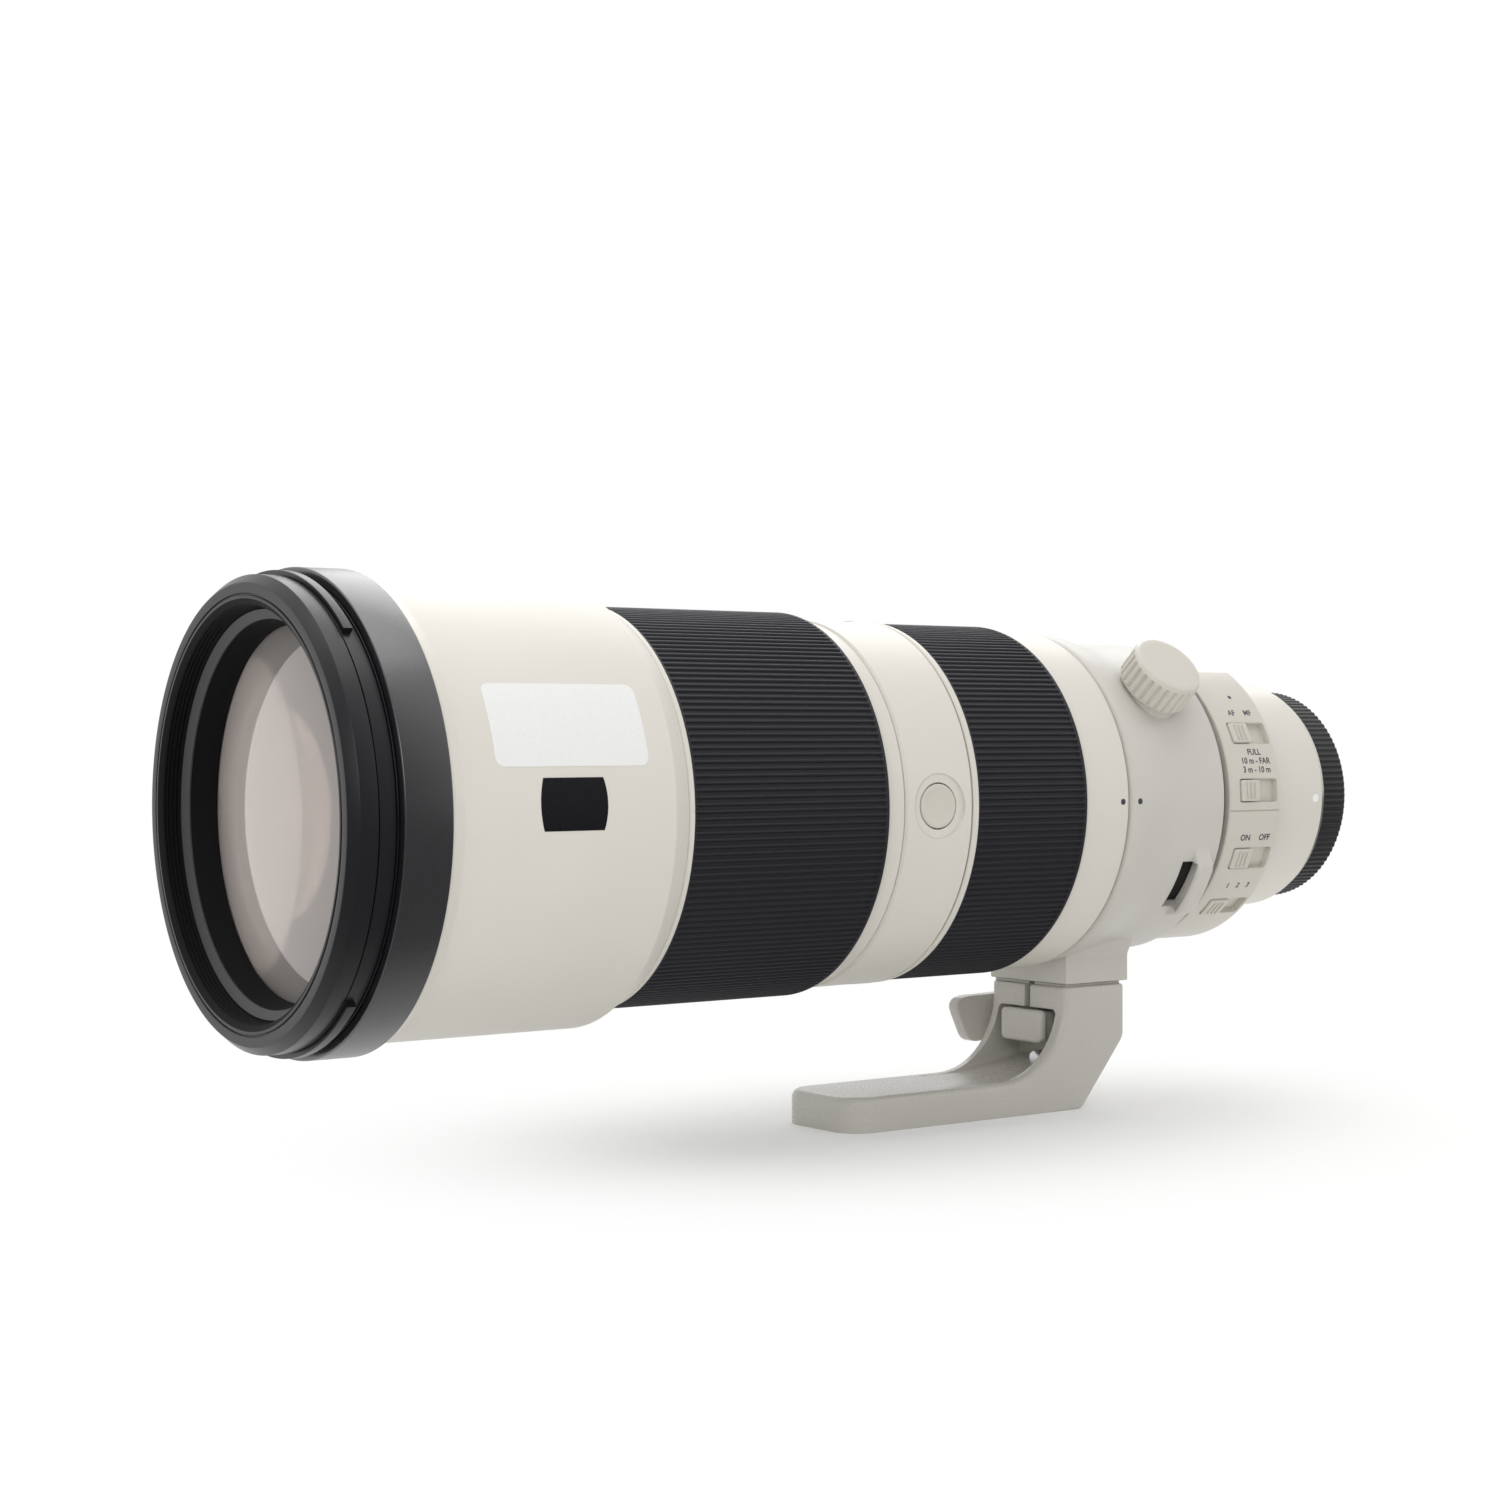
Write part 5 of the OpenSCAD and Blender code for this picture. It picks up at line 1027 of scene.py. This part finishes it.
foot_form = carved(carved(foot_form, [clamp_land], "UNION"), foot_cutters)
settle("cast_tripod_foot", foot_form, "foot", foot_shaded_enamel, ["tripod_foot"])

stop_pin = slab(round_hole(2.1, 24), STEM_FRONT - 4.6, STEM_FRONT + 8.3, moved(0, -7.6, FOOT_TOP - 19.6))
soften(stop_pin, 0.5)
settle("foot_stop_pin", stop_pin, "foot", bright_steel)
print("foot", round(FOOT_REAR - FOOT_FRONT, 1), "mm long")

# %% [markdown]
# ## Foot lever and release button
# A wing lever on the far side tightens the clamp. Its wing flares outward, so that a finger gets behind
# it. A square button in the recess lets the foot slide off. Both are small castings with soft edges.

# %% Foot lever and release button
lever_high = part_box("foot_lever")[1]
HUB_R = 6.2
WING_FLARE = 6.0
hub_bottom, hub_top = FOOT_HALF + 0.2, lever_high.y / MM
hub = soften(slab(round_hole(HUB_R, 40), hub_bottom, hub_top, hub_axis), 0.8)
wing_corners = [(2.0, -5.0, 0.5), (2.0, 5.0, 0.5), (-9.0, 4.4, 6.0), (-20.6, 3.6, 4.0), (-16.6, -9.6, 3.0),
                (-9.5, -8.0, 4.0)]
wing_outline = [(u, v) for u, v, groove in rounded_outline(wing_corners, 6)]
wing = soften(slab(wing_outline, hub_top - 4.0, hub_top, hub_axis), 1.2)
bmesh.ops.triangulate(wing, faces=wing.faces)
FLARE_X, FLARE_LONG = HUB_X - 6, 14.6
for step in range(1, 8):
    slice_through(wing, ((FLARE_X - 2 * step) * MM, 0, 0), (1, 0, 0))
for vert in wing.verts:
    reach = max(0, FLARE_X - vert.co.x / MM)
    vert.co.y += WING_FLARE * (reach / FLARE_LONG) ** 2 * MM
clamp_screw = slab(round_hole(2.8, 24), -12.6, hub_bottom + 1, hub_axis)
screw_dimple = slab(round_hole(2.4, 6), hub_top - 1.6, hub_top + 1, hub_axis)
lever_form = merged([carved(hub, [screw_dimple]), wing, clamp_screw])
settle("clamp_wing_lever", lever_form, "lever", foot_shaded_enamel, ["foot_lever"])

release_low, release_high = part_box("foot_release")
block_front, block_rear = release_low.x / MM, release_low.x / MM + 7.8
block_middle = moved(0, 0, (release_low.z + release_high.z) / 2 / MM)
block = soften(slab(rounded_patch(16.4, 9.0, 1.6), block_front, block_front + 2.6, block_middle), 0.8)
block_stem = slab(rounded_patch(11.0, 8.0, 1.0), block_front + 2, block_rear, block_middle)
PIN_R, PIN_SIDE, PIN_Z = 1.5, 4.45, -64.8
pins = [slab(round_hole(PIN_R, 24), block_rear - 0.5, release_high.x / MM, moved(0, side * PIN_SIDE, PIN_Z))
        for side in (-1, 1)]
settle("foot_release_block", merged([block, block_stem] + pins), "release", foot_shaded_enamel,
       ["foot_release"])
print("lever and release button made")

# %% [markdown]
# ## Hold buttons
# Three round buttons sit in flats of the fixed ring, at the side, top and bottom. Each is turned: a
# stepped foot under the ring, a soft rim and a shallow dish for the fingertip.

# %% Hold buttons
HOLD_X = -155.2
BUTTON_R = 5.5
hold_profile = [(0, 43.0), (6.3, 43.0), (6.3, 43.7), (BUTTON_R, 43.7), (BUTTON_R, 46.85, 0.4),
                (4.7, 46.85, 0.4), (3.4, 46.62, 2.0), (0, 46.5)]
for side, angle in (("side", 0), ("top", 90), ("bottom", -90)):
    settle("hold_button_" + side + "_turned", turned_form(hold_profile, 12), "hold_" + side, switch_plastic,
           ["hold_button_" + side], on_side(angle, HOLD_X))
print("three hold buttons")

# %% [markdown]
# ## Collar knob
# A knob on a screw locks the collar. It sits close over the ring. Its grip has soft ribs, and its cap is
# smooth and almost flat with a well rounded edge. The lathe cuts the grooves between the ribs.

# %% Collar knob
KNOB_BASE, KNOB_TOP, KNOB_R = 45.3, 54.1, 10.1
KNOB_RIB = [(0.0, 0.0), (0.2, 0.0), (0.42, 0.02), (0.56, 0.3), (0.66, 0.85), (0.76, 1.0), (0.86, 0.85),
            (0.94, 0.3)]
KNOB_RIBS = 26
GROOVE = 0.7
knob_profile = [
    (0, 46.4), (9.2, 46.4), (9.4, KNOB_BASE, 0.2), (KNOB_R - 0.3, KNOB_BASE, 0.2),
    (KNOB_R, KNOB_BASE + 0.5, 0.2, GROOVE), (KNOB_R, KNOB_TOP - 1.5, 0.3, GROOVE),
    (KNOB_R - 0.1, KNOB_TOP - 1.2, 0.1), (KNOB_R - 0.7, KNOB_TOP - 0.15, 0.8), (KNOB_R - 2.0, KNOB_TOP, 0.8),
    (0, KNOB_TOP + 0.1)]
knob = turned_form(knob_profile, KNOB_RIBS, KNOB_RIB)
spindle = turned_form([(0, 40.65), (2.0, 40.65), (2.0, 46.6), (0, 46.6)], 6)
settle("collar_lock_knob", merged([knob, spindle]), "knob", switch_plastic, ["collar_knob"],
       on_side(KNOB_ANGLE, KNOB_X))
print("knob with", KNOB_RIBS, "ribs")

# %% [markdown]
# ## Switch panel
# The panel is a raised strip of the rear barrel with four recesses for slide switches. It is swept like
# the turned shells, but only part of the way round, and the recesses are milled out. A fine line divides
# it in two.

# %% Switch panel
panel_low, panel_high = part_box("switch_panel")
PANEL_FRONT, PANEL_REAR = panel_low.x / MM, panel_high.x / MM
PANEL_R = -panel_low.y / MM
SWITCHES = (("focus", 26), ("limit", 3), ("steady", -24), ("mode", -48))
SLOT_LONG, SLOT_WIDE, SLOT_DEEP = 14.5, 6.4, 1.8
slider_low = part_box("switch_limit")[0]
x_slot = slider_low.x / MM - 0.3 + SLOT_LONG / 2
PANEL_SEAT_R = 37.5
PANEL_SECTOR = (-98, 59)
panel_profile = [
    (PANEL_SEAT_R, PANEL_FRONT), (PANEL_R, PANEL_FRONT, 0.6), (PANEL_R, PANEL_REAR - 2.0, 0.9),
    (PANEL_R - 2.0, PANEL_REAR, 0.4), (PANEL_SEAT_R, PANEL_REAR)]
panel = turned_form(panel_profile, sector=PANEL_SECTOR)
slot_outline = rounded_patch(SLOT_LONG, SLOT_WIDE, 0.7)
cutter_top = PANEL_R + 3
panel_cutters = [slab(slot_outline, PANEL_R - SLOT_DEEP, cutter_top, on_side(angle, x_slot))
                 for switch, angle in SWITCHES]
LINE_ANGLE, LINE_WIDE, LINE_DEEP = -4.8, 0.35, 0.25
line_outline = rounded_patch(60, LINE_WIDE, 0.15)
panel_cutters.append(slab(line_outline, PANEL_R - LINE_DEEP, cutter_top, on_side(LINE_ANGLE, x_slot)))
settle("switch_panel_milled", carved(panel, panel_cutters), "lens_body", switch_plastic,
       ["switch_panel"])

SLIDER_LONG = 7.0
x_slider = slider_low.x / MM + SLIDER_LONG / 2
bar_outline = rounded_patch(SLIDER_LONG, SLOT_WIDE - 0.6, 0.6)
ridge_outline = rounded_patch(0.6, SLOT_WIDE - 1.8, 0.25)
for switch, angle in SWITCHES:
    grip_bar = soften(slab(bar_outline, PANEL_R - SLOT_DEEP + 0.3, PANEL_R + 0.55), 0.35)
    ridges = [slab(ridge_outline, PANEL_R, PANEL_R + 0.95, moved(0, step * 1.5, 0)) for step in (-1, 0, 1)]
    settle("slider_" + switch + "_ridged", merged([grip_bar] + ridges), "slider_" + switch, switch_plastic,
           ["switch_" + switch], on_side(angle, x_slider))
print("panel with", len(SWITCHES), "switches, recesses centred at", round(x_slot, 1))

# %% [markdown]
# ## Printed marks
# Small dark marks beside the switches say what they do, in plain words and numbers. Blender's text tool
# gives flat letters, which are thickened to a film of ink and bent round the panel.

# %% Printed marks


MARK_HIGH = 2.4


def printed_words(name, words, angle):
    """Prints words over the recesses' middle, read from the lens's left with the front to the left."""
    script = bpy.data.curves.new(name, "FONT")
    script.body = words
    script.size = MARK_HIGH
    script.align_x = script.align_y = "CENTER"
    script.resolution_u = 3
    script.extrude = 0.03
    script.offset = 0.05
    holder = put(name, script)
    form = bmesh.new()
    form.from_mesh(holder.evaluated_get(bpy.context.evaluated_depsgraph_get()).to_mesh())
    bpy.data.objects.remove(holder)
    for vert in form.verts:
        u, v, film = vert.co
        a = radians(angle) + v / PANEL_R
        r = (PANEL_R + film) * MM
        vert.co = ((x_slot + u) * MM, -r * cos(a), r * sin(a))
    bmesh.ops.remove_doubles(form, verts=form.verts, dist=1e-7)
    settle(name, form, "lens_body", dark_ink)


MARKS = (("focus", "AF     MF", 35.0), ("limit_full", "FULL", 18.0), ("limit_far", "10 m - FAR", 14.5),
         ("limit_near", "3 m - 10 m", 11.0), ("steady", "ON     OFF", -15.5), ("mode", "1    2    3", -36.5))
for mark, words, angle in MARKS:
    printed_words("mark_" + mark, words, angle)
index_dot("panel_index_dot", x_slot - 0.2, 43.0, PANEL_R, 0.6, "lens_body", dark_ink)
print(len(MARKS), "marks printed")

# %% [markdown]
# ## Rear cap
# The cap is moulded ABS with fine ribs round its edge for the fingers and a flat back.

# %% Rear cap
cap_front, cap_rear, cap_r = extent("rear_cap")
CAP_RIBS = 110
CAP_GROOVE = 0.25
cap_inside = cap_rear - 2.2
collar_end = cap_rear - 4.2
cap_profile = [
    (cap_r - 1.8, cap_front), (cap_r - 0.3, cap_front, 0.2), (cap_r, cap_front + 1.2, 0.3, CAP_GROOVE),
    (cap_r, cap_rear - 1.6, 0.5, CAP_GROOVE), (cap_r - 1.5, cap_rear, 0.6), (cap_r - 5, cap_rear, 0.2),
    (cap_r - 5.4, cap_rear - 0.4, 0.1), (0, cap_rear - 0.4), (0, cap_inside), (24.7, cap_inside),
    (24.7, collar_end, 0.2), (26.1, collar_end, 0.2), (26.1, cap_inside), (cap_r - 1.8, cap_inside)]
cap_form = turned_form(cap_profile, CAP_RIBS, GRIP_RIB)
settle("rear_cap_ribbed", cap_form, "cap", cap_plastic, ["rear_cap"])
print("cap with", CAP_RIBS, "ribs")
